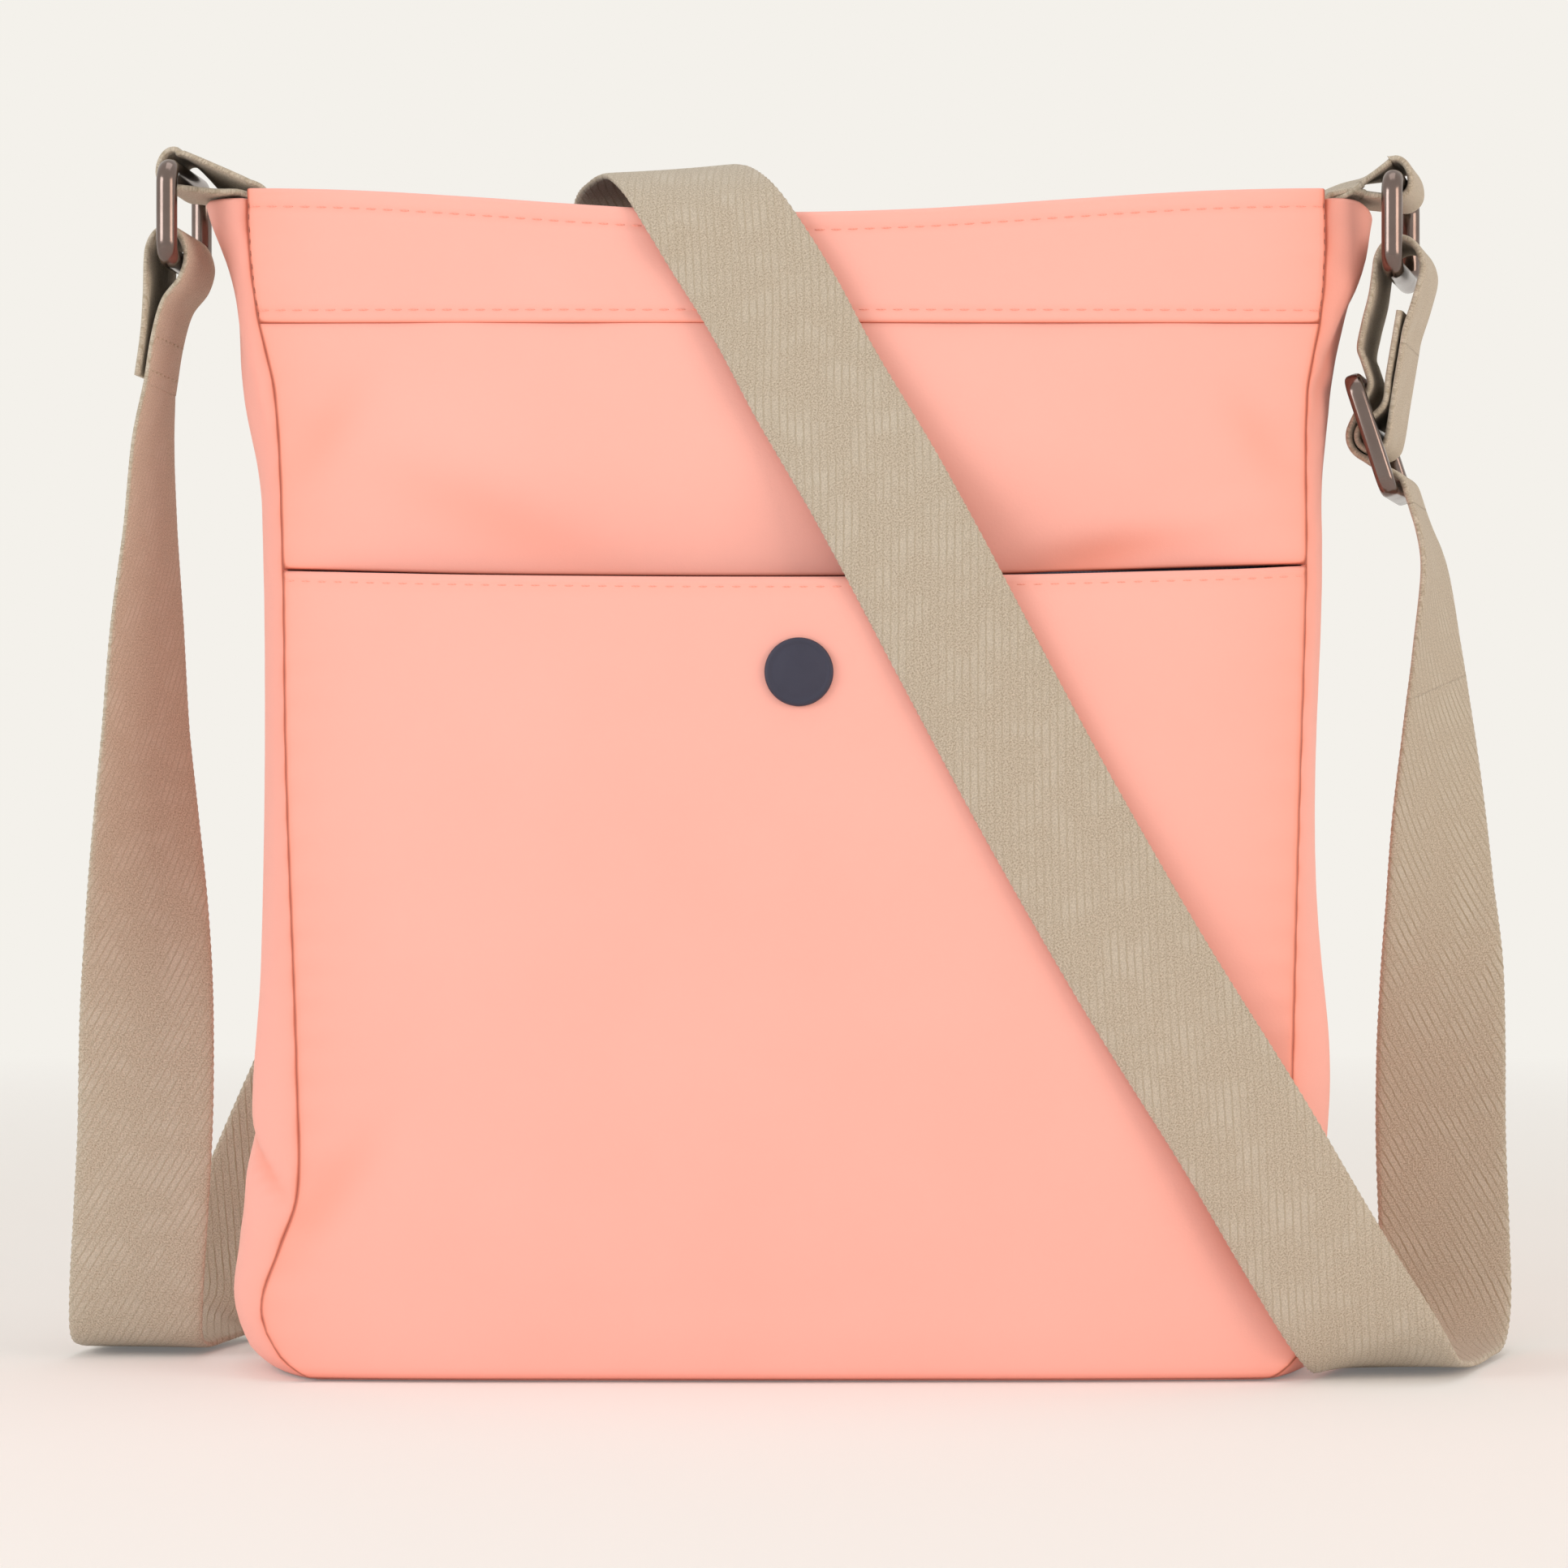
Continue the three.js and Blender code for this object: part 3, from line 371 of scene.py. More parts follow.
@dataclass(frozen=True)
class PolishedGunmetal(WornFinish):
    """Zinc casting with a polished black-nickel plating: dark, with bright highlights, handled.

    Its hair-fine scratches are drawn wider, so that they show in the render.
    """

    name: str = "polished_gunmetal_plating"
    colour: str = "#857772"
    worn_colour: str = "#6C5D57"
    roughness: tuple[float, float] = (0.1, 0.29)
    patch: float = 9.0
    relief: float = 0.45
    relief_depth: float = 0.1
    unevenness: tuple[float, float] = (0.6, 0.7)
    bump: float = 0.04
    metallic: float = 1.0


@dataclass(frozen=True)
class GrainedPlastic(WornFinish):
    """Moulded plastic with a fine spark-eroded grain: dark, matte, rubbed where hands touch it.

    The grain of about 0.1 mm is drawn coarser, so that it shows in the render.
    """

    name: str = "moulded_acetal_navy"
    colour: str = "#2B2B3E"
    worn_colour: str = "#37384B"
    roughness: tuple[float, float] = (0.52, 0.7)
    patch: float = 5.0
    relief: float = 0.45
    relief_depth: float = 0.15
    bump: float = 0.18


@dataclass(frozen=True)
class PlainWeave(Finish):
    """Thin polyester cloth in a plain weave, for the lining and the zip tapes: low sheen.

    Its threads of about 0.3 mm are drawn wider, so that they show in the render.
    """

    name: str = "plain_weave_polyester_navy"
    colour: str = "#3A3C50"
    dark_colour: str = "#2A2B3B"
    thread: float = 0.9
    thread_depth: float = 0.2
    bump: float = 0.3
    roughness: float = 0.7
    sheen: float = 0.1

    def surface(self, tree: Tree) -> dict[str, Any]:
        """Adds two crossing sets of threads on the object's own axes.

        Args:
            tree: Tree of the material.

        Returns:
            Inputs of the shader.
        """
        place = add_node(tree, "ShaderNodeTexCoord").outputs["Object"]
        scale = per_metre(self.thread) * WAVE_PERIOD
        warp, weft = (
            add_node(
                tree, "ShaderNodeTexWave",
                {"Vector": place, "Scale": scale, "Distortion": 0.6, "Detail": 1.0},
                bands_direction=axis).outputs["Fac"]
            for axis in ("X", "Z"))
        height = add_node(
            tree, "ShaderNodeMath", {0: warp, 1: weft}, operation="MULTIPLY").outputs["Value"]
        cloth = add_node(
            tree, "ShaderNodeMix", {SHARE: height, FIRST: self.dark_colour, SECOND: self.colour},
            data_type="RGBA")
        bump = add_node(
            tree, "ShaderNodeBump",
            {"Height": height, "Strength": self.bump, "Distance": self.thread_depth * MM})
        return {
            "Base Color": cloth.outputs[BLEND], "Normal": bump.outputs["Normal"],
            "Roughness": self.roughness, "Sheen Weight": self.sheen}


@dataclass(frozen=True)
class SewingThread(Finish):
    """Twisted polyester sewing thread: a soft sheen and the slant of its plies."""

    name: str
    colour: str
    dark_colour: str
    ply: float = 0.35
    roughness: float = 0.6
    sheen: float = 0.2

    def surface(self, tree: Tree) -> dict[str, Any]:
        """Adds the slanting plies.

        Args:
            tree: Tree of the material.

        Returns:
            Inputs of the shader.
        """
        place = add_node(tree, "ShaderNodeTexCoord").outputs["Object"]
        plies = add_node(
            tree, "ShaderNodeTexWave",
            {"Vector": place, "Scale": per_metre(self.ply) * WAVE_PERIOD, "Distortion": 0.5},
            bands_direction="DIAGONAL")
        strand = add_node(
            tree, "ShaderNodeMix",
            {SHARE: plies.outputs["Fac"], FIRST: self.dark_colour, SECOND: self.colour},
            data_type="RGBA")
        return {
            "Base Color": strand.outputs[BLEND], "Roughness": self.roughness,
            "Sheen Weight": self.sheen}


def curve_through(pairs: Sequence[tuple[float, float]]) -> Curve:
    """Makes a smooth curve through pairs of a position and a value.

    Args:
        pairs: Positions in rising order, each with its value.

    Returns:
        A function from positions to values.
    """
    at, value = np.array(pairs, float).T
    last = len(at) - 1
    order = np.arange(last + 1)
    before, after = np.maximum(order - 1, 0), np.minimum(order + 1, last)
    slope = (value[after] - value[before]) / (at[after] - at[before])

    def curve(where: Points) -> Points:
        """Reads the curve.

        Args:
            where: Positions.

        Returns:
            The values there.
        """
        i = np.clip(np.searchsorted(at, where) - 1, 0, last - 1)
        span = at[i + 1] - at[i]
        t = np.clip((where - at[i]) / span, 0, 1)
        bend = t * (1 - t) * span * ((1 - t) * slope[i] - t * slope[i + 1])
        return value[i] + (value[i + 1] - value[i]) * t * t * (3 - 2 * t) + bend

    return curve


def smoothstep(value: Points, low: float, high: float) -> Points:
    """Rises smoothly from 0 at low to 1 at high."""
    t = np.clip((value - low) / (high - low), 0, 1)
    return t * t * (3 - 2 * t)


def unit(vectors: Points) -> Points:
    """Scales vectors, or rows of them, to length one."""
    return vectors / np.maximum(np.linalg.norm(vectors, axis=-1, keepdims=True), 1e-9)


def rolled(distance: Points, radius: float) -> Points:
    """How far a rounded edge has fallen away at a distance from the edge."""
    inside = np.clip(radius - distance, 0, radius)
    return radius - np.sqrt(radius**2 - inside**2)


def fading(distance: Points, layers: Sequence[tuple[float, float]]) -> Points:
    """Sums layers of shade that fade with a distance.

    Args:
        distance: Distances from the edge that casts the shade.
        layers: Depth of each layer at the edge, and its reach.

    Returns:
        The depth of the shade.
    """
    return sum(depth * np.exp(-distance / reach) for depth, reach in layers)


def uneven_wave(
    along: Points, pitch: float, drift: float, drift_size: float, start: float = 0.0
) -> Points:
    """Makes a wave whose crests are unevenly spaced.

    Args:
        along: Places along the wave.
        pitch: Mean distance of its crests.
        drift: Greatest shift of a crest in radians.
        drift_size: Length over which the shift turns by a radian.
        start: Shift of the whole wave in radians.

    Returns:
        Values from -1 to 1.
    """
    return np.sin(2 * math.pi * along / pitch + drift * np.sin(along / drift_size) + start)


def level(height: float) -> Curve:
    """Makes a level edge.

    Args:
        height: Height of the edge.

    Returns:
        Its height by the share of the half width.
    """

    def edge(u: Points) -> Points:
        """Reads the edge."""
        return np.full_like(u, height)

    return edge


def run_along(line: Points) -> Points:
    """Lengths along a polyline, from its first point to each of its points."""
    return np.concatenate([[0], np.cumsum(np.linalg.norm(np.diff(line, axis=0), axis=1))])


def resampled(values: Points, run: Points, at: Points) -> Points:
    """Reads rows of values, given at lengths along a line, at other lengths."""
    return np.stack([np.interp(at, run, column) for column in values.T], axis=1)


def rounded_rectangle(half_width: float, half_depth: float, radius: float, steps: int) -> Points:
    """Makes the outline of a rectangle with round corners.

    Args:
        half_width: Half of the first side.
        half_depth: Half of the second side.
        radius: Radius of the corners.
        steps: Points on each corner.

    Returns:
        Rows of two coordinates, anticlockwise from the end of the first axis.
    """
    points = []
    for first, second, start in ((1, 1, 0), (-1, 1, 90), (-1, -1, 180), (1, -1, 270)):
        for angle in np.radians(np.linspace(start, start + 90, steps)):
            points.append((
                first * (half_width - radius) + radius * math.cos(angle),
                second * (half_depth - radius) + radius * math.sin(angle)))
    return np.array(points)


def crowded(low: float, high: float, edge: float, count: int) -> Points:
    """Makes rising steps that crowd together at both ends.

    Args:
        low: First step.
        high: Last step.
        edge: Width of the crowded strip at each end.
        count: Steps between the two strips.

    Returns:
        The steps.
    """
    strip = edge * np.array([0, 0.05, 0.12, 0.22, 0.35, 0.52, 0.74])
    middle = np.linspace(low + edge, high - edge, count)
    return np.concatenate([low + strip, middle, (high - strip)[::-1]])


def new_object(
    name: str,
    points: Points,
    faces: Sequence[Sequence[int]],
    material: Material,
    weave: Points | None = None,
    fold: Points | None = None,
    reverse: Points | None = None,
    sharp_degrees: float = 180.0,
) -> Piece:
    """Makes a mesh object at the origin.

    Args:
        name: Name of the piece.
        points: Corners in millimetres.
        faces: Corner numbers of each face, seen from outside.
        material: Finish of the whole piece.
        weave: UV place of each corner, for a woven finish.
        fold: Depth of the painted shade at each corner, from 0 to 1, for a cloth finish.
        reverse: 1 at each corner on the reverse of a webbing, else 0.
        sharp_degrees: Edges that turn by more than this stay sharp.

    Returns:
        The object, linked to the scene.
    """
    mesh = bpy.data.meshes.new(name)
    corners = np.asarray(points, float).reshape(-1, 3) * MM
    mesh.from_pydata(corners.tolist(), [], [list(face) for face in faces])
    mesh.materials.append(material)
    mesh.polygons.foreach_set("use_smooth", [True] * len(mesh.polygons))
    if sharp_degrees < 180:
        mesh.set_sharp_from_angle(angle=math.radians(sharp_degrees))
    if weave is not None:
        numbers = np.zeros(len(mesh.loops), np.int32)
        mesh.loops.foreach_get("vertex_index", numbers)
        layer = mesh.uv_layers.new(name="weave")
        layer.uv.foreach_set("vector", np.asarray(weave, np.float32)[numbers].ravel())
    for attribute, values in (("fold", fold), ("reverse", reverse)):
        if values is not None:
            layer = mesh.attributes.new(attribute, "FLOAT", "POINT")
            layer.data.foreach_set("value", np.asarray(values, np.float32).ravel())
    mesh.update()
    piece = bpy.data.objects.new(name, mesh)
    bpy.context.scene.collection.objects.link(piece)
    return piece


def grid_faces(rows: int, columns: int, first: int = 0, turned: bool = False) -> list[list[int]]:
    """Lists the four-cornered faces of a grid of points.

    Args:
        rows: Rows of points.
        columns: Points in a row.
        first: Number of the first point.
        turned: Whether the faces look the other way.

    Returns:
        The corner numbers of each face.
    """
    faces = []
    for r in range(rows - 1):
        for c in range(columns - 1):
            a = first + r * columns + c
            face = [a, a + 1, a + columns + 1, a + columns]
            faces.append(face[::-1] if turned else face)
    return faces


def cloth_sheet(
    name: str,
    outer: Points,
    thickness: float,
    outward: Sequence[float],
    material: Material,
    fold: Points | None = None,
) -> Piece:
    """Makes a sheet of cloth with a real thickness and rounded raw edges.

    Args:
        name: Name of the piece.
        outer: Grid of points on the outer face, rows by columns by three.
        thickness: Thickness of the cloth.
        outward: Rough direction that the outer face looks to.
        material: Finish of the cloth.
        fold: Depth of the painted shade on the same grid.

    Returns:
        The object.
    """
    rows, columns = outer.shape[:2]
    normal = unit(np.cross(np.gradient(outer, axis=1), np.gradient(outer, axis=0)))
    turned = float(np.dot(normal.mean((0, 1)), outward)) < 0
    inner = outer - (-normal if turned else normal) * thickness
    ring = (
        [(0, c) for c in range(columns)]
        + [(r, columns - 1) for r in range(1, rows)]
        + [(rows - 1, c) for c in range(columns - 2, -1, -1)]
        + [(r, 0) for r in range(rows - 2, 0, -1)]
    )
    r, c = np.array(ring).T
    away = unit(outer[r, c] - outer[np.clip(r, 1, rows - 2), np.clip(c, 1, columns - 2)])
    rim = (outer[r, c] + inner[r, c]) / 2 + away * thickness * RIM_BULGE
    count = rows * columns
    faces = grid_faces(rows, columns, 0, turned) + grid_faces(rows, columns, count, not turned)
    for i, (r0, c0) in enumerate(ring):
        j = (i + 1) % len(ring)
        a, b = r0 * columns + c0, ring[j][0] * columns + ring[j][1]
        m, n = 2 * count + i, 2 * count + j
        for quad in ([b, a, m, n], [n, m, count + a, count + b]):
            faces.append(quad[::-1] if turned else quad)
    depth = np.zeros((rows, columns)) if fold is None else np.clip(fold, 0, 1)
    shades = np.concatenate([
        depth.ravel(), np.full(count, INNER_SHADE), np.full(len(ring), RIM_SHADE)])
    points = np.concatenate([outer.reshape(-1, 3), inner.reshape(-1, 3), rim])
    return new_object(name, points, faces, material, fold=shades)


def tube(rings: Sequence[Points], closed: bool) -> tuple[Points, list[list[int]]]:
    """Joins rings of points to a tube.

    Args:
        rings: Rings of the same number of points, in order.
        closed: Whether the last ring joins up with the first, else both get a cap.

    Returns:
        Points and faces.
    """
    sides = len(rings[0])
    faces = []
    for i in range(len(rings) if closed else len(rings) - 1):
        low, high = i * sides, ((i + 1) % len(rings)) * sides
        for k in range(sides):
            m = (k + 1) % sides
            faces.append([low + k, low + m, high + m, high + k])
    if not closed:
        faces.append(list(range(sides))[::-1])
        faces.append(list(range((len(rings) - 1) * sides, len(rings) * sides)))
    return np.concatenate(rings), faces


def settle(piece: Piece, body: str, slot: str, *nodes: str) -> Piece:
    """Lets a finished piece ride on a body in place of CAD nodes, and reports it.

    Args:
        piece: Finished object.
        body: Body that it moves with.
        slot: Material slot of the record; not used.
        *nodes: CAD nodes that it stands for.

    Returns:
        The same object.
    """
    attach(piece, body)
    if nodes:
        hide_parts(*nodes)
    LOG.info("%s rides on %s, %d faces", piece.name, body, len(piece.data.polygons))
    return piece


@dataclass(frozen=True)
class Photograph:
    """Camera at the place of the photograph's: level, in front of the bag, with a long lens."""

    frame_pixels: int = 1932
    focal_pixels: float = 5360.0
    sensor: float = 36.0
    x: float = -1.2
    y: float = -971.0
    z: float = 129.0

    def build(self) -> None:
        """Makes the camera and hands it to the scene."""
        data = bpy.data.cameras.new("photograph_camera")
        data.sensor_width = self.sensor
        data.lens = self.focal_pixels / self.frame_pixels * self.sensor
        data.clip_start, data.clip_end = 0.01, 20.0
        camera = bpy.data.objects.new("photograph_camera", data)
        camera.location = (self.x * MM, self.y * MM, self.z * MM)
        camera.rotation_euler = (math.pi / 2, 0, 0)
        bpy.context.scene.collection.objects.link(camera)
        bpy.context.scene.camera = camera


@dataclass(frozen=True)
class SoftLamp:
    """One square softbox that looks at the middle of the bag."""

    name: str
    place: tuple[float, float, float]
    size: float
    watts: float
    colour: str

    def build(self, target: Vector) -> None:
        """Makes the lamp and aims it.

        Args:
            target: Place that it looks at, in metres.
        """
        data = bpy.data.lights.new(self.name, "AREA")
        data.shape, data.size, data.energy = "SQUARE", self.size * MM, self.watts
        data.color = linear(self.colour)[:3]
        lamp = bpy.data.objects.new(self.name, data)
        lamp.location = Vector(self.place) * MM
        lamp.rotation_euler = (target - lamp.location).to_track_quat("-Z", "Y").to_euler()
        bpy.context.scene.collection.objects.link(lamp)


@dataclass(frozen=True)
class Studio:
    """Pale seamless floor that sweeps up into a wall, soft lamps and an even sky."""

    floor_colour: str = "#F8F5F3"
    backdrop_colour: str = "#F4F1EB"
    sky_strength: float = 0.72
    seen_sky: float = 1.0
    plain_share: float = 0.14
    plain_reach: tuple[float, float] = (420.0, 1150.0)
    half_width: float = 4000.0
    front: float = -4000.0
    bend_start: float = 1300.0
    bend_radius: float = 500.0
    wall_top: float = 2600.0
    floor_drop: float = 0.3
    lamp_target: float = 120.0
    lamps: tuple[SoftLamp, ...] = (
        SoftLamp("key_softbox", (-1150.0, -800.0, 500.0), 700.0, 6.7, "#FFFFFF"),
        SoftLamp("fill_softbox", (1150.0, -800.0, 450.0), 700.0, 5.8, "#FFEADA"),
        SoftLamp("top_softbox", (100.0, 0.0, 1500.0), 900.0, 3.0, "#FFFFFF"),
    )

    @staticmethod
    def seen_directly(tree: Tree) -> Socket:
        """Gives 1 to the camera, in metal and through glass, and 0 to light on the bag.

        Args:
            tree: Tree that gets the nodes.

        Returns:
            The socket of that value.
        """
        path = add_node(tree, "ShaderNodeLightPath")
        seen = path.outputs["Is Camera Ray"]
        for ray in ("Is Glossy Ray", "Is Transmission Ray"):
            seen = add_node(
                tree, "ShaderNodeMath", {0: seen, 1: path.outputs[ray]},
                operation="MAXIMUM").outputs["Value"]
        return seen

    def backdrop_material(self) -> Material:
        """Makes the paper, which takes the bag's shadow and looks plain away from it.

        Returns:
            The material.
        """
        material, tree = new_material("paper_sweep_warm_white")
        place = add_node(tree, "ShaderNodeTexCoord").outputs["Object"]
        reach = add_node(tree, "ShaderNodeVectorMath", {0: place}, operation="LENGTH")
        near, far = (distance * MM for distance in self.plain_reach)
        away = add_node(
            tree, "ShaderNodeMapRange",
            {"Value": reach.outputs["Value"], "From Min": near, "From Max": far}).outputs["Result"]
        paper = add_node(
            tree, "ShaderNodeMix",
            {SHARE: away, FIRST: self.floor_colour, SECOND: self.backdrop_colour},
            data_type="RGBA").outputs[BLEND]
        lit = add_node(
            tree, "ShaderNodeBsdfPrincipled",
            {"Base Color": paper, "Roughness": 0.9, "Specular IOR Level": 0.1})
        glow = add_node(tree, "ShaderNodeEmission", {"Color": paper, "Strength": 1.0})
        plain = add_node(tree, "ShaderNodeMapRange", {"Value": away, "To Min": self.plain_share})
        share = add_node(
            tree, "ShaderNodeMath", {0: self.seen_directly(tree), 1: plain.outputs["Result"]},
            operation="MULTIPLY")
        both = add_node(
            tree, "ShaderNodeMixShader",
            {0: share.outputs["Value"], 1: lit.outputs["BSDF"], 2: glow.outputs["Emission"]})
        add_node(tree, "ShaderNodeOutputMaterial", {"Surface": both.outputs["Shader"]})
        return material

    def build(self) -> None:
        """Makes the floor, the sky and the lamps."""
        corner = np.radians(np.linspace(-90, 0, 24))
        y = np.concatenate([
            [self.front, 0.0], self.bend_start + self.bend_radius * np.cos(corner),
            [self.bend_start + self.bend_radius]])
        z = np.concatenate([
            [0.0, 0.0], self.bend_radius * (1 + np.sin(corner)), [self.wall_top]]) - self.floor_drop
        sides = (-self.half_width, self.half_width)
        points = np.array([[x, a, b] for a, b in zip(y, z) for x in sides])
        floor = new_object("studio_floor", points, grid_faces(len(y), 2), self.backdrop_material())
        scene = bpy.context.scene
        scene.view_settings.view_transform = "Standard"
        scene.world = bpy.data.worlds.new("studio_sky")
        scene.world.use_nodes = True
        tree = scene.world.node_tree
        tree.nodes.clear()
        strength = add_node(
            tree, "ShaderNodeMapRange",
            {"Value": self.seen_directly(tree), "To Min": self.sky_strength,
             "To Max": self.seen_sky})
        sky = add_node(
            tree, "ShaderNodeBackground",
            {"Color": self.backdrop_colour, "Strength": strength.outputs["Result"]})
        add_node(tree, "ShaderNodeOutputWorld", {"Surface": sky.outputs["Background"]})
        for lamp in self.lamps:
            lamp.build(Vector((0, 0, self.lamp_target)) * MM)


@dataclass(frozen=True)
class Crease:
    """One soft ridge or dent of the cloth, long and bell-shaped across."""

    across: float
    z: float
    length: float
    width: float
    slant_degrees: float
    height: float

    def lift(self, across: Points, z: Points) -> Points:
        """Gives how far the cloth stands out at places on its panel.

        Args:
            across: Places along the width of the panel.
            z: Heights of the same places.

        Returns:
            The lift in millimetres, negative in a dent.
        """
        slant = math.radians(self.slant_degrees)
        cos, sin = math.cos(slant), math.sin(slant)
        along = (across - self.across) * cos + (z - self.z) * sin
        beside = (z - self.z) * cos - (across - self.across) * sin
        return self.height * np.exp(-((along / self.length) ** 2) - (beside / self.width) ** 2)


# Folds of the side walls: place across, height, length, width, slant and lift
GUSSET_CREASES = {
    Side.LEFT: (
        Crease(-8, 222, 22, 4, 62, -0.6), Crease(9, 232, 20, 4, -60, -0.9),
        Crease(-15, 45, 16, 3.4, 27, -2.2), Crease(-6, 95, 40, 6, 82, 0.7),
        Crease(10, 150, 45, 6, -84, -0.9), Crease(-14, 37, 18, 5, 27, 1.0),
        Crease(-2, 38, 40, 13, 0, 0.9), Crease(-4, 216, 30, 13, 0, 1.3)),
    Side.RIGHT: (
        Crease(-9, 226, 22, 4, 58, -1.2), Crease(8, 230, 20, 4, -64, -1.3),
        Crease(-12, 80, 34, 6, 84, 0.9), Crease(9, 120, 45, 6, -80, -1.0),
        Crease(-15, 48, 14, 5, -40, -1.1), Crease(12, 52, 16, 5, 60, -1.0),
        Crease(-4, 242, 20, 11, 0, 3.2), Crease(-4, 172, 40, 30, 0, 1.4),
        Crease(-4, 75, 40, 20, 0, 1.2)),
}


def ripple(across: Points, z: Points, size: float) -> Points:
    """Gives the uneven slackness of cloth, of about one millimetre.

    Args:
        across: Places along the width of the cloth.
        z: Heights of the same places.
        size: Length of its waves.

    Returns:
        The lift.
    """
    k = 2 * math.pi / size
    return sum(
        height * np.sin(k * (sideways * across + up * z) + start)
        for height, sideways, up, start in SLACK_WAVES)


def dome(u: Points, power: Points | float) -> Points:
    """Rises from 0 at both ends, where u is -1 and 1, to 1 in the middle."""
    return np.maximum(np.cos(u * math.pi / 2), 0) ** power


@dataclass(frozen=True)
class BagForm:
    """Outer shape of the bag: a flat base, a full belly, a narrow top and soft side walls."""

    height: float = 260.0
    top_sag: float = 5.4
    band_height: float = 30.5
    pocket_height: float = 175.0
    seam_half_width: float = 110.0
    pocket_crown: float = 8.0
    upper_crown: float = 4.0
    back_crown: float = 3.0
    pocket_dip: float = 30.0
    pocket_tuck: float = 0.6
    cloth: float = 1.5
    lining: float = 0.6
    seam_gap: float = 0.3
    mouth_flare: float = 0.35
    seam_spread: Pairs = (
        (0, -6), (0.02, 0), (0.06, 4), (0.11, 1), (0.155, -2.5), (0.24, -2.5),
        (0.54, 0), (0.68, 1), (0.82, 2.5), (0.89, 6.3), (0.945, 8), (1, 8.5))
    side_swell: Pairs = (
        (0, 11), (0.06, 9.5), (0.155, 12), (0.23, 12), (0.34, 8.7), (0.48, 7),
        (0.73, 6), (0.82, 7.5), (0.92, 6.5), (0.98, 11), (1, 12))
    crown_share: Pairs = (
        (0, 0.25), (0.15, 0.75), (0.45, 1), (0.68, 0.9), (0.9, 0.35), (1, 0.15))
    half_depths: Pairs = ((0, 31), (0.25, 32), (0.68, 29), (1, 15))
    leans: Pairs = (
        (0, 0), (0.05, -0.4), (0.13, 0.9), (0.25, 1.1),
        (0.5, 0.8), (0.68, 1.1), (0.83, 0.3), (1, -0.8))
    side_power: float = 0.8
    flare_start: float = 0.88

    @property
    def band_seam(self) -> float:
        """Height of the seam under the top band."""
        return self.height - self.band_height

    def seam_x(self, z: Points) -> Points:
        """Distance of the side seams from the middle."""
        return self.seam_half_width + curve_through(self.seam_spread)(z / self.height)

    def lean(self, z: Points) -> Points:
        """How far the seams of the limp body lean to the right."""
        return curve_through(self.leans)(z / self.height)

    def half_depth(self, z: Points) -> Points:
        """Distance of the side seams from the middle plane."""
        return curve_through(self.half_depths)(z / self.height)

    def top_edge(self, u: Points) -> Points:
        """Height of the top edge across the width."""
        return self.height - self.top_sag * np.cos(u * math.pi / 2) ** 2

    def crown(self, u: Points, z: Points, height: float) -> Points:
        """Swell of a panel between its side seams."""
        return height * curve_through(self.crown_share)(z / self.height) * (1 - u**4)

    def pocket_depth(self, u: Points, z: Points) -> Points:
        """Distance of the pocket's face in front of the middle plane."""
        return self.half_depth(z) + self.crown(u, z, self.pocket_crown)

    def upper_depth(self, u: Points, z: Points) -> Points:
        """Distance of the cloth above the pocket in front of the middle plane."""
        free = smoothstep(z, self.pocket_height, self.pocket_height + self.pocket_dip)
        tuck = self.pocket_tuck * (1 - free) * (1 - u**8)
        return self.half_depth(z) + free * self.crown(u, z, self.upper_crown) - tuck

    def back_depth(self, u: Points, z: Points) -> Points:
        """Distance of the back behind the middle plane."""
        return self.half_depth(z) + self.crown(u, z, self.back_crown)

    def gusset_x(self, u: Points, z: Points) -> Points:
        """Distance of a side wall from the middle."""
        swell = curve_through(self.side_swell)(z / self.height)
        flare = self.mouth_flare * smoothstep(z / self.height, self.flare_start, 1)
        return self.seam_x(z) + swell * dome(u, self.side_power - flare)


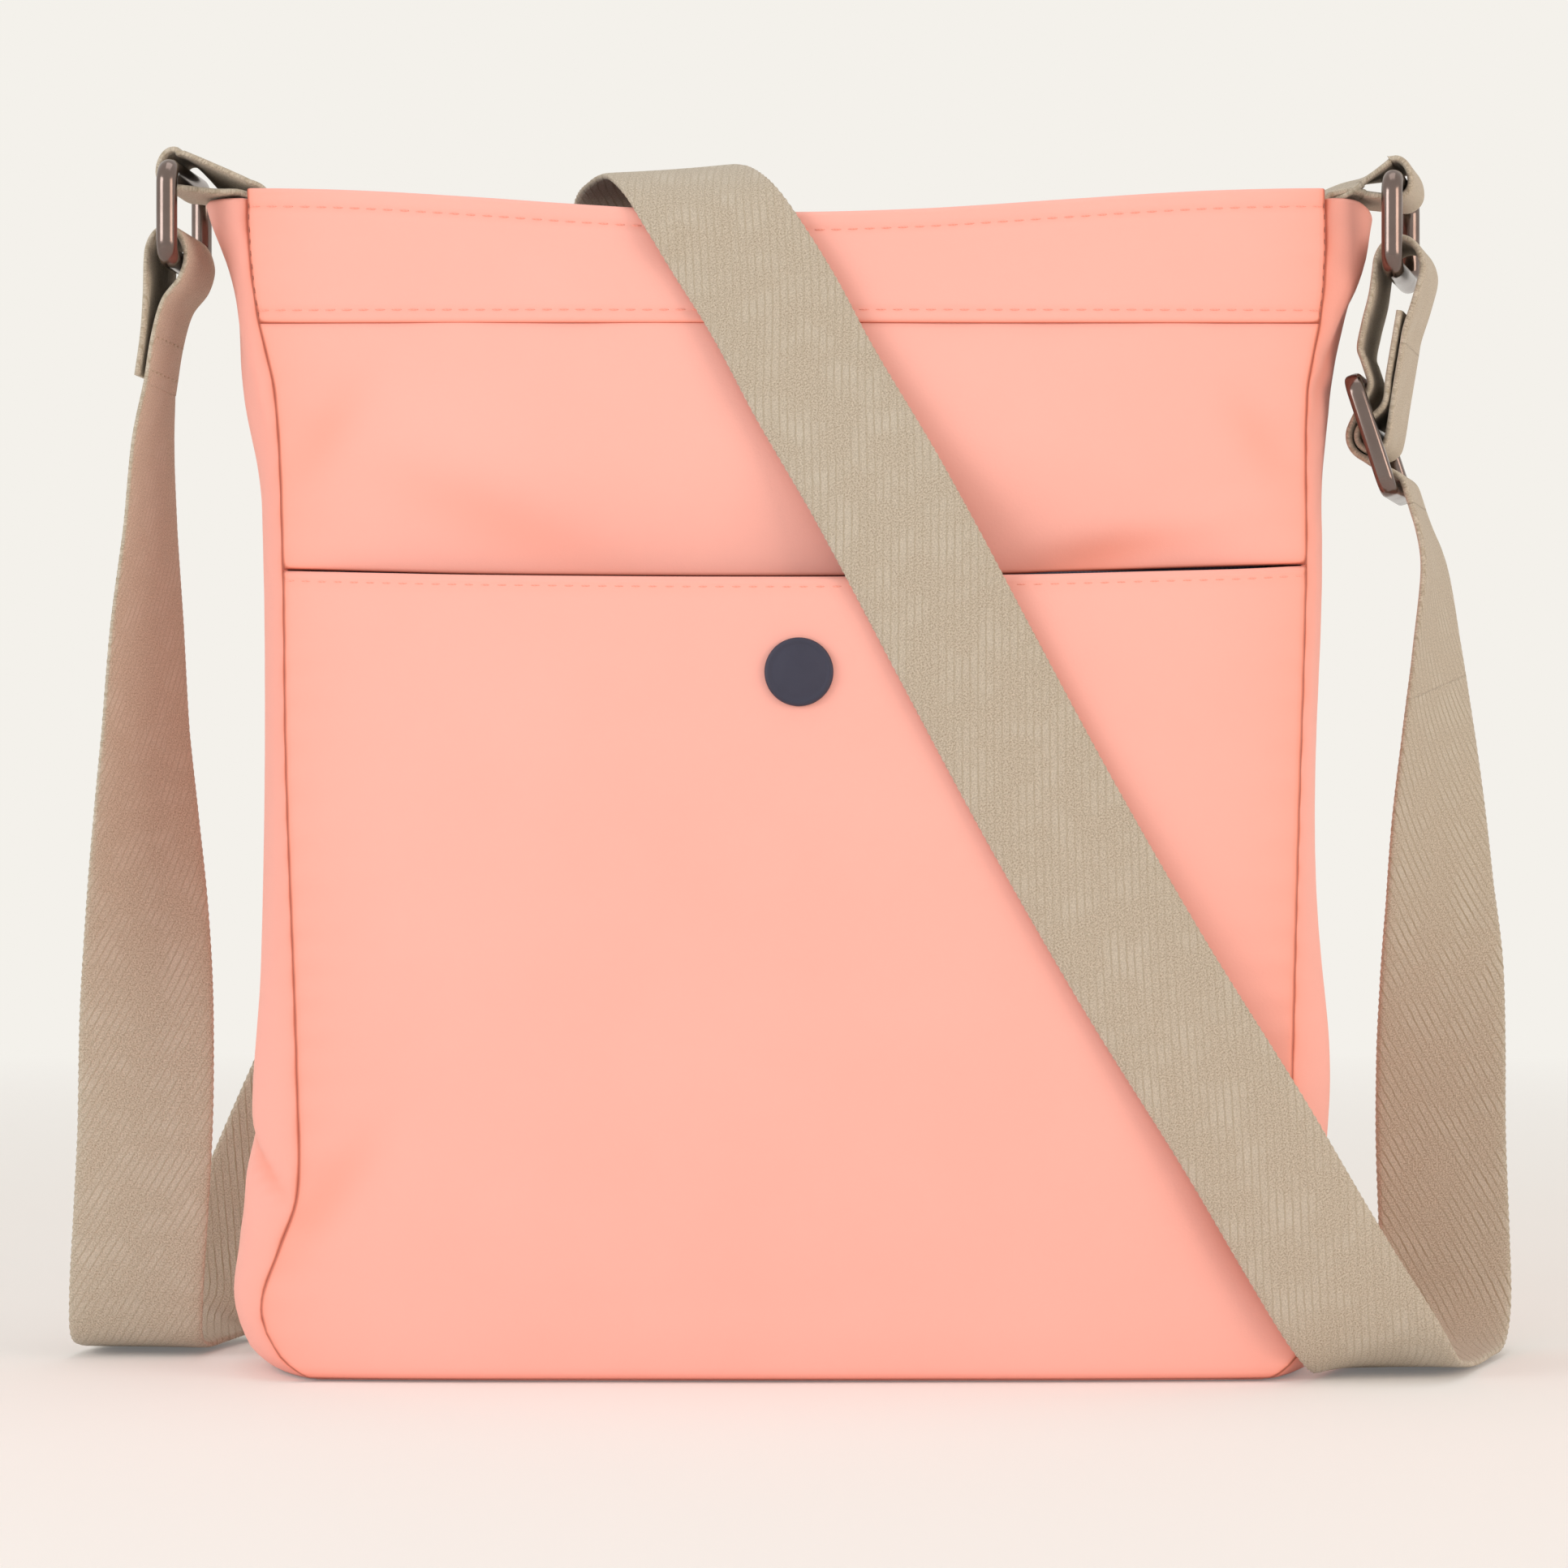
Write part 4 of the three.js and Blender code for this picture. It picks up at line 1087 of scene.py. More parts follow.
@dataclass(frozen=True)
class PanelFace:
    """One cloth panel of the front or back, as a surface that other pieces can be set on."""

    form: BagForm
    face: Face
    depth: Callable[[Points, Points], Points]
    low: Curve
    high: Curve
    creases: tuple[Crease, ...] = ()
    slack: float = 0.2
    slack_size: float = 60.0
    pucker: float = 0.25
    pucker_size: float = 9.0
    proud: float = 0.0
    side_roll: float = 1.2
    low_roll: float = 1.0
    high_roll: float = 1.0
    grooves: tuple[float, ...] = ()
    groove_depth: float = 0.2
    groove_width: float = 0.9
    pucker_reach: float = 7.0
    slack_from: tuple[float, float] = (2.0, 25.0)
    crowded_edge: float = 7.0
    columns: int = 121

    @property
    def low_shade(self) -> Pairs:
        """Layers of painted shade along the lower edge: one over its roll, one at the very edge."""
        return (0.35, 0.6 * self.low_roll + 0.3), (0.75, 0.4)

    def groove_lift(self, u: Points, z: Points) -> Points:
        """Gives how far the sewn lines pull the cloth in. A groove counts from the nearer edge.

        Args:
            u: Shares of the half width, from -1 to 1.
            z: Heights of the same places.

        Returns:
            The lift, which is negative.
        """
        pull = np.zeros_like(z)
        for groove in self.grooves:
            line = self.high(u) + groove if groove < 0 else self.low(u) + groove
            pull = pull + np.exp(-(((z - line) / self.groove_width) ** 2))
        return -self.groove_depth * pull

    def surface(self, u: Points, z: Points) -> Points:
        """Gives points of the finished face, with its rolls, creases and sewn lines.

        Args:
            u: Shares of the half width, from -1 to 1.
            z: Heights of the same places.

        Returns:
            Points in millimetres.
        """
        seam = self.form.seam_x(z)
        x = u * seam
        inside = (1 - np.abs(u)) * seam
        along_seam = uneven_wave(z, self.pucker_size, 1.7, 13)
        free = smoothstep(inside, *self.slack_from)
        lift = self.proud + self.slack * ripple(x, z, self.slack_size) * free
        lift = lift + self.pucker * along_seam * np.exp(-inside / self.pucker_reach)
        lift = lift + self.groove_lift(u, z)
        for crease in self.creases:
            lift = lift + crease.lift(x, z)
        fall = rolled(inside, self.side_roll) + rolled(z - self.low(u), self.low_roll)
        fall = fall + rolled(self.high(u) - z, self.high_roll)
        y = self.face.value * (self.depth(u, z) + lift - fall)
        return np.stack([x + self.form.lean(z), y, z], axis=-1)

    def fold(self, u: Points, z: Points) -> Points:
        """Gives the depth of painted shade along the side seams, over the lower edge, in dents and
        on sewn lines.

        Args:
            u: Shares of the half width, from -1 to 1.
            z: Heights of the same places.

        Returns:
            Depths from 0 to 1.
        """
        seam = self.form.seam_x(z)
        shade = fading((1 - np.abs(u)) * seam, PANEL_SEAM_SHADE)
        shade = shade + fading(z - self.low(u), self.low_shade)
        for crease in self.creases:
            shade = shade + DENT_SHADE * np.clip(-crease.lift(u * seam, z), 0, None)
        sewn = -self.groove_lift(u, z) / self.groove_depth
        return np.clip(shade + SEWN_SHADE * sewn, 0, 1)

    def build(self, name: str, rows: int, material: Material) -> Piece:
        """Makes the panel.

        Args:
            name: Name of the piece.
            rows: Steps up the panel between its edges.
            material: Finish of the cloth.

        Returns:
            The object.
        """
        edge = self.crowded_edge / self.form.seam_half_width
        u, v = np.meshgrid(crowded(-1, 1, edge, self.columns), crowded(0, 1, 0.08, rows))
        z = self.low(u) + (self.high(u) - self.low(u)) * v
        outward = (0, self.face.value, 0)
        return cloth_sheet(
            name, self.surface(u, z), self.form.cloth, outward, material, self.fold(u, z))


@dataclass
class ClothBody:
    """The sewn shell of the bag: front, back, side walls and base."""

    form: BagForm
    cloth: Material
    base_roll: float = 1.8
    gusset_rows: int = 110
    gusset_middles: tuple[float, float] = (257.9, 254.5)
    gusset_corner: float = 257.6
    mouth_gap: float = 0.2
    mouth_line: Pairs = (
        (-1, 0.3), (-0.6, -0.8), (0, -1.2), (0.4, -0.7), (0.75, 0.6), (1, 1.4))
    mouth_slack: Pairs = (
        (-1, 0.05), (-0.94, 0.15), (-0.5, 0.2), (0, 0.2),
        (0.35, 0.25), (0.6, 0.5), (0.85, 0.55), (1, 0.05))
    seam_lap: float = 1.0
    gusset_rise: float = 2.4
    gusset_pucker: float = 0.35
    gusset_pucker_size: float = 10.0
    gusset_pucker_reach: float = 6.0
    base_shade: float = 0.3
    base_flat: tuple[float, float] = (104.0, 29.0)
    base_edge_roll: float = 1.0

    def mouth(self, u: Points) -> Points:
        """Height of the line along which the pocket's mouth opens."""
        return self.form.pocket_height + curve_through(self.mouth_line)(u)

    def hem(self, u: Points) -> Points:
        """Height of the pocket's hem, which sags a little below that line."""
        return self.mouth(u) - curve_through(self.mouth_slack)(u)

    def upper_edge(self, u: Points) -> Points:
        """Height of the lower edge of the cloth above the pocket."""
        return self.mouth(u) + self.mouth_gap

    def __post_init__(self) -> None:
        """Sets out the five panels of the front and back."""
        form, seam = self.form, self.form.band_seam
        self.pocket = PanelFace(
            form, Face.FRONT, form.pocket_depth, level(form.seam_gap), self.hem,
            creases=(
                Crease(-70, 120, 60, 34, 70, 0.6), Crease(88, 60, 40, 10, -62, -0.5),
                Crease(-100, 40, 16, 5, 55, -0.7), Crease(98, 28, 14, 5, -50, -0.6),
                Crease(0, 10, 80, 5, 0, 0.5)),
            slack=0.35, slack_size=110, low_roll=self.base_roll, high_roll=1.1, grooves=(-2.2,))
        self.upper = PanelFace(
            form, Face.FRONT, form.upper_depth, self.upper_edge, level(seam + self.seam_lap),
            creases=(
                Crease(-62, 185, 26, 7, -22, -0.7), Crease(-48, 197, 24, 9, -20, 0.5),
                Crease(66, 178.5, 17, 4.5, 12, -1.6), Crease(86, 184.5, 16, 5, 16, 0.9),
                Crease(-100, 206, 12, 5, 60, -0.6), Crease(101, 204, 12, 5, -60, -0.6)),
            slack=0.4, slack_size=80, low_roll=0.8, high_roll=1.4)
        band = dict(slack=0.25, proud=0.7, low_roll=0.9, high_roll=1.3, grooves=(3.0, -4.2))
        self.front_band = PanelFace(
            form, Face.FRONT, form.upper_depth, level(seam), form.top_edge, slack_size=34, **band)
        self.back = PanelFace(
            form, Face.BACK, form.back_depth, level(form.seam_gap), level(seam + self.seam_lap),
            creases=(
                Crease(-60, 90, 60, 26, 65, 0.8), Crease(70, 150, 50, 12, -58, -0.9),
                Crease(20, 205, 60, 9, 5, -0.8), Crease(-95, 45, 18, 6, 52, -0.8),
                Crease(96, 36, 16, 6, -52, -0.7)),
            slack=0.5, slack_size=90, low_roll=self.base_roll, high_roll=1.4)
        self.back_band = PanelFace(
            form, Face.BACK, form.back_depth, level(seam), form.top_edge, slack_size=38, **band)

    def build(self) -> None:
        """Makes every cloth panel and settles it on the bag."""
        for name, panel, rows in (
            ("front_pocket_panel", self.pocket, 110), ("front_upper_panel", self.upper, 60),
            ("front_top_band", self.front_band, 44), ("back_panel", self.back, 120),
            ("back_top_band", self.back_band, 44),
        ):
            settle(panel.build(f"cloth_{name}", rows, self.cloth), "root", "coral_cloth", name)
        for side in Side:
            self.build_gusset(side)
        self.build_base()

    def build_gusset(self, side: Side) -> None:
        """Makes one side wall, which swells out between its two seams.

        Args:
            side: Side of the bag.
        """
        form = self.form
        u, v = np.meshgrid(crowded(-1, 1, 0.16, 41), crowded(0, 1, 0.05, self.gusset_rows))
        middle = self.gusset_middles[0 if side is Side.LEFT else 1]
        top = middle + (self.gusset_corner - middle) * (1 - dome(u, self.gusset_rise))
        z = form.seam_gap + (top - form.seam_gap) * v
        y = u * (form.half_depth(z) - form.cloth - form.seam_gap)
        steps = np.hypot(np.diff(form.gusset_x(u, z), axis=1), np.diff(y, axis=1))
        run = np.pad(np.cumsum(steps, axis=1), ((0, 0), (1, 0)))
        inside = np.minimum(run, run[:, -1:] - run)
        lift = sum(crease.lift(y, z) for crease in GUSSET_CREASES[side]) * smoothstep(inside, 0, 5)
        wave = uneven_wave(z, self.gusset_pucker_size, 2, 17, side.value)
        pucker = self.gusset_pucker * wave * np.exp(-inside / self.gusset_pucker_reach)
        swell = form.gusset_x(u, z) + lift + pucker * smoothstep(inside, 0, 2)
        x = swell - rolled(z, self.base_roll)
        # Painted shade: darker along both seams, next to the floor and in dents
        fold = fading(inside, GUSSET_SEAM_SHADE) + fading(z, GUSSET_FLOOR_SHADE)
        fold = fold + DENT_SHADE * np.clip(-lift, 0, None)
        name = f"gusset_{side.name.lower()}"
        seam_share = 1 - dome(u, form.side_power)
        outer = np.stack([side.value * x + form.lean(z) * seam_share, y, z], axis=-1)
        sheet = cloth_sheet(
            f"cloth_{name}", outer, form.cloth, (side.value, 0, 0), self.cloth, fold)
        settle(sheet, "root", "coral_cloth", name)

    def build_base(self) -> None:
        """Makes the base, which lies flat on the floor and turns up a little at its seams."""
        form = self.form
        u, v = np.meshgrid(crowded(-1, 1, 0.08, 61), crowded(-1, 1, 0.12, 31))
        zero = np.zeros_like(u)
        x = u * (form.gusset_x(v, zero) - form.cloth - form.seam_gap)
        depth = np.where(v < 0, form.pocket_depth(u, zero), form.back_depth(u, zero))
        y = v * (depth - form.cloth - form.seam_gap)
        half_width, half_depth = self.base_flat
        edge = np.minimum((1 - np.abs(u)) * half_width, (1 - np.abs(v)) * half_depth)
        outer = np.stack([x, y, rolled(edge, self.base_edge_roll)], axis=-1)
        # Painted shade, even over the whole base, which lies on the floor
        sheet = cloth_sheet(
            "cloth_base_panel", outer, form.cloth, (0, 0, -1), self.cloth, self.base_shade + zero)
        settle(sheet, "root", "coral_cloth", "base_panel")


@dataclass
class Linings:
    """Navy lining of the front pocket and of the main compartment."""

    form: BagForm
    weave: Material
    half_width: float = 104.8
    corner: float = 7.0
    top_drop: float = 24.0
    slack: float = 0.18
    slack_size: float = 45.0
    front_room: float = 0.4
    back_room: float = 0.2
    rows: int = 61
    corner_steps: int = 24

    def build(self) -> None:
        """Makes both linings and settles them on the bag."""
        form = self.form
        low = form.cloth + 2 * form.seam_gap
        u, v = np.meshgrid(np.linspace(-1, 1, self.rows), np.linspace(0, 1, self.rows))
        z = low + (form.pocket_height - low) * v
        x = u * self.half_width
        loose = self.slack * (1 + ripple(x, z, self.slack_size))
        y = -form.half_depth(z) + form.cloth + form.seam_gap + loose
        outer = np.stack([x, y, z], axis=-1)
        pocket = cloth_sheet("lining_pocket", outer, form.lining, (0, -1, 0), self.weave)
        settle(pocket, "root", "navy_lining", "pocket_lining")

        top = form.height - self.top_drop
        rings = [self.outline(z, 0.0) for z in np.linspace(low, top, self.rows)]
        floor = low + form.lining
        rings += [self.outline(z, form.lining) for z in np.linspace(top, floor, self.rows)]
        points, faces = tube(rings, closed=False)
        main = new_object("lining_main", points, faces, self.weave, sharp_degrees=50)
        settle(main, "root", "navy_lining", "main_lining")

    def outline(self, z: float, inset: float) -> Points:
        """Rounded outline of the main lining at one height.

        Args:
            z: Height of the outline.
            inset: Distance inside the lining's outer face.

        Returns:
            The points, anticlockwise from above.
        """
        form = self.form
        depth = float(form.half_depth(np.array(z)))
        layers = form.cloth + 2 * form.seam_gap + form.lining
        front = -depth + layers + self.front_room + inset
        back = depth - form.cloth - form.seam_gap - self.back_room - inset
        flat = rounded_rectangle(
            self.half_width - inset, (back - front) / 2, self.corner - inset, self.corner_steps)
        return np.column_stack([flat[:, 0], (front + back) / 2 + flat[:, 1], np.full(len(flat), z)])


def spline(points: Points, at: Points) -> Points:
    """Reads a smooth curve through points, spaced by the root of their distance.

    Args:
        points: Points of the route.
        at: Places on the route, where whole numbers are the points themselves.

    Returns:
        Points on the curve.
    """
    points = np.asarray(points, float)
    last = len(points) - 1
    padded = np.concatenate([[2 * points[0] - points[1]], points, [2 * points[-1] - points[-2]]])
    i = np.clip(np.floor(at).astype(int), 0, last - 1)
    t = (at - i)[:, None]
    p0, p1, p2, p3 = (padded[i + k] for k in range(4))
    pairs = ((p0, p1), (p1, p2), (p2, p3))
    steps = [np.sqrt(np.linalg.norm(b - a, axis=1))[:, None] for a, b in pairs]
    d1 = np.where(steps[1] < 1e-4, 1.0, steps[1])
    d0, d2 = (np.where(d < 1e-4, d1, d) for d in (steps[0], steps[2]))
    m1 = ((p1 - p0) / d0 - (p2 - p0) / (d0 + d1) + (p2 - p1) / d1) * d1
    m2 = ((p2 - p1) / d1 - (p3 - p1) / (d1 + d2) + (p3 - p2) / d2) * d1
    return (
        p1 + m1 * t + (-3 * p1 + 3 * p2 - 2 * m1 - m2) * t**2 + (2 * p1 - 2 * p2 + m1 + m2) * t**3
    )


@dataclass(frozen=True)
class Webbing:
    """Flat woven webbing with thin selvedges, whose weft loops make a finely scalloped edge."""

    material: Material
    width: float = 30.0
    thickness: float = 1.5
    scallop: float = 0.09
    scallop_pitch: float = 1.7
    step: float = 0.45
    weave_unit: float = 30.0
    across: tuple[float, ...] = (-1, -0.985, -0.93, -0.8, -0.5, 0, 0.5, 0.8, 0.93, 0.985, 1)
    fullness: tuple[float, ...] = (0.35, 0.6, 0.95, 1, 0.97, 0.96, 0.97, 1, 0.95, 0.6, 0.35)
    selvedge: float = 0.98

    def stations(self, centres: Points, widths: Points) -> tuple[Points, Points, Points]:
        """Spaces a route evenly along its length.

        Args:
            centres: Closely spaced points of the route.
            widths: Width direction at the same points.

        Returns:
            Centres, width directions and lengths along the route.
        """
        run = run_along(centres)
        length = np.linspace(0, run[-1], max(int(run[-1] / self.step), 8))
        return resampled(centres, run, length), resampled(widths, run, length), length

    def build(self, name: str, centres: Points, widths: Points) -> Piece:
        """Makes a length of webbing.

        Args:
            name: Name of the piece.
            centres: Closely spaced points of the route.
            widths: Width direction at the same points.

        Returns:
            The object.
        """
        middle, side, length = self.stations(centres, widths)
        along = unit(np.gradient(middle, axis=0))
        side = unit(side - along * np.sum(side * along, axis=1, keepdims=True))
        face = np.cross(along, side)
        s = np.array([*self.across, *self.across[-2:0:-1]])
        h = np.array([*self.fullness, *(-f for f in self.fullness[-2:0:-1])]) * self.thickness / 2
        edge = np.where(np.abs(s) > self.selvedge, np.sign(s), 0)
        loops = uneven_wave(length, self.scallop_pitch, 2, 7.3)
        rings = []
        for place, beside, out, loop in zip(middle, side, face, loops):
            reach = s * self.width / 2 + edge * self.scallop * loop
            rings.append(place + np.outer(reach, beside) + np.outer(h, out))
        points, faces = tube(rings, closed=False)
        u = np.tile(s * self.width / self.weave_unit / 2 + 0.5, len(middle))
        v = np.repeat(length / self.weave_unit, len(s))
        reverse = np.tile(h < 0, len(middle))
        weave = np.stack([u, v], axis=1)
        return new_object(name, points, faces, self.material, weave=weave, reverse=reverse)

    def along_points(self, name: str, points: Points, widths: Points) -> Piece:
        """Makes a length of webbing on a smooth curve through a few points."""
        at = np.linspace(0, len(points) - 1, 24 * len(points))
        return self.build(name, spline(points, at), spline(widths, at))


# Route of the free strap: centre x, y, z and width direction x, y, z, from the left ring's sewn end
# down to the floor, up behind the bag, over its top, down across the front, and up to the adjuster
STRAP_ROUTE = (
    (-140.7, 0.4, 216.6, 0.07, 1, 0), (-142, 0.4, 205, 0.15, 0.99, 0),
    (-142.6, 0.5, 186, 0.24, 0.97, 0), (-143.4, 1, 164, 0.4, 0.92, 0),
    (-143.8, 1.5, 141, 0.52, 0.86, 0), (-143.8, 2, 120, 0.68, 0.73, 0),
    (-143.7, 2.5, 98, 0.85, 0.53, 0), (-143.9, 3, 76, 0.96, 0.27, 0),
    (-144.3, 3.5, 52, 1, 0.09, 0), (-145.4, 4, 32, 1, 0.04, 0), (-146.6, 5.5, 14, 1, 0, 0),
    (-147, 9, 5, 1, -0.04, 0), (-146.4, 17, 2, 0.99, -0.1, 0), (-143, 31, 1.9, 0.97, -0.24, 0),
    (-138, 42, 6.2, 0.95, -0.25, -0.2), (-133, 47.5, 10, 0.92, -0.1, -0.38),
    (-127.5, 49, 22, 0.91, -0.03, -0.42), (-118, 48, 44, 0.91, 0, -0.42),
    (-100, 44, 84, 0.92, 0, -0.4), (-79, 39.5, 136, 0.93, 0, -0.37),
    (-60, 34.5, 186, 0.93, 0, -0.36), (-44.5, 25.5, 227, 0.93, 0.05, -0.35),
    (-37.5, 22.4, 246, 0.92, 0.1, -0.36), (-34.2, 17.6, 258.4, 0.9, 0.28, -0.24),
    (-31, 7.5, 263.8, 0.88, 0.46, 0), (-27, -1.5, 265.2, 0.87, 0.47, 0.12),
    (-22.6, -11, 262, 0.87, 0.4, 0.28), (-17.6, -18, 255.3, 0.87, 0.24, 0.43),
    (-11.4, -21.3, 246, 0.87, 0.08, 0.48), (-3.5, -25, 233, 0.87, 0.08, 0.49),
    (5.4, -28.8, 216, 0.87, 0.08, 0.49), (18, -35, 194, 0.87, 0.05, 0.49),
    (27.6, -38.8, 176, 0.87, 0, 0.49), (37, -40.4, 158, 0.87, 0, 0.49),
    (55.8, -41, 123, 0.87, 0, 0.49), (76, -40.6, 88, 0.87, 0, 0.49),
    (97.6, -39.4, 53.5, 0.87, 0, 0.49), (110.3, -38.2, 32, 0.875, -0.02, 0.485),
    (119.5, -36.4, 17, 0.885, -0.06, 0.465), (126.5, -31.5, 7.6, 0.92, -0.22, 0.33),
    (131.5, -22, 2.8, 0.9, -0.42, 0.1), (137, -8, 1.4, 0.9, -0.44, 0),
    (142.5, 5, 1.5, 0.92, -0.38, 0), (147.5, 17, 3.8, 0.96, -0.26, -0.06),
    (150, 24.5, 11, 0.99, -0.12, -0.04), (150.4, 27.5, 24, 1, -0.02, 0),
    (149.6, 27.5, 48, 1, 0.02, 0), (149.2, 24.5, 67, 1, 0.07, 0),
    (148.9, 21, 86, 0.97, 0.24, 0), (147.8, 17, 104, 0.87, 0.48, 0),
    (146.6, 12, 123, 0.77, 0.64, 0), (145.7, 7.5, 141, 0.63, 0.78, 0),
    (144.8, 3.5, 159, 0.47, 0.88, 0), (143.4, -0.6, 178, 0.3, 0.95, 0),
    (141.6, -1.3, 185.5, 0.25, 0.97, 0), (140.1, -0.9, 190.3, 0.24, 0.97, 0),
)


@dataclass
class FreeStrap:
    """The free length of the strap, in stretches that meet on the floor and lap its sewn ends.

    A short last stretch hangs under the adjuster, made apart from the rest.
    """

    webbing: Webbing
    left_end: int = 13
    right_start: int = 41
    taken_up: float = 3.45
    steps: int = 40
    lap: float = 0.06
    slide_axis: tuple[float, float, float] = (0.299838, -0.074758, -0.951057)
    slide_travel: float = 25.0

    def stretch(self, name: str, first: float, last: float) -> tuple[Piece, Points]:
        """Makes the stretch between two route points.

        Args:
            name: Name of the piece.
            first: Number of the first route point.
            last: Number of the last one.

        Returns:
            The object and its centreline in metres.
        """
        route = np.array(STRAP_ROUTE, float)
        ends = 0, len(route) - 1
        lapped = first - self.lap * (first in ends), last + self.lap * (last in ends)
        at = np.linspace(*lapped, round((last - first) * self.steps) + 1)
        centres, widths = spline(route[:, :3], at), spline(route[:, 3:], at)
        return self.webbing.build(name, centres, widths), centres * MM

    def build_top(self, first: float, last: float) -> Piece:
        """Makes the stretch under the adjuster, which rides on the right hanger.

        Args:
            first: Number of the first route point.
            last: Number of the last one.

        Returns:
            The object.
        """
        piece, line = self.stretch("webbing_strap_right_top", first, last)
        settle(piece, "right_hanger", "beige_webbing")
        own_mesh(piece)
        return piece

    def build(self) -> None:
        """Makes the stretches. The outer two hang on the rings but are not set to move with them.
        """
        last = len(STRAP_ROUTE) - 1
        right_end = last - self.taken_up
        top_piece = self.build_top(right_end, last)
        for name, first, end, hanger in (
            ("strap_left", 0, self.left_end, "left_hanger"),
            ("strap_middle", self.left_end, self.right_start, None),
            ("strap_right", self.right_start, right_end, "right_hanger"),
        ):
            piece, line = self.stretch(f"webbing_{name}", first, end)
            if hanger is None:
                settle(piece, "root", "beige_webbing", name)
            else:
                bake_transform(piece)
                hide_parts(name)
                LOG.info("%s bends with %s", piece.name, hanger)


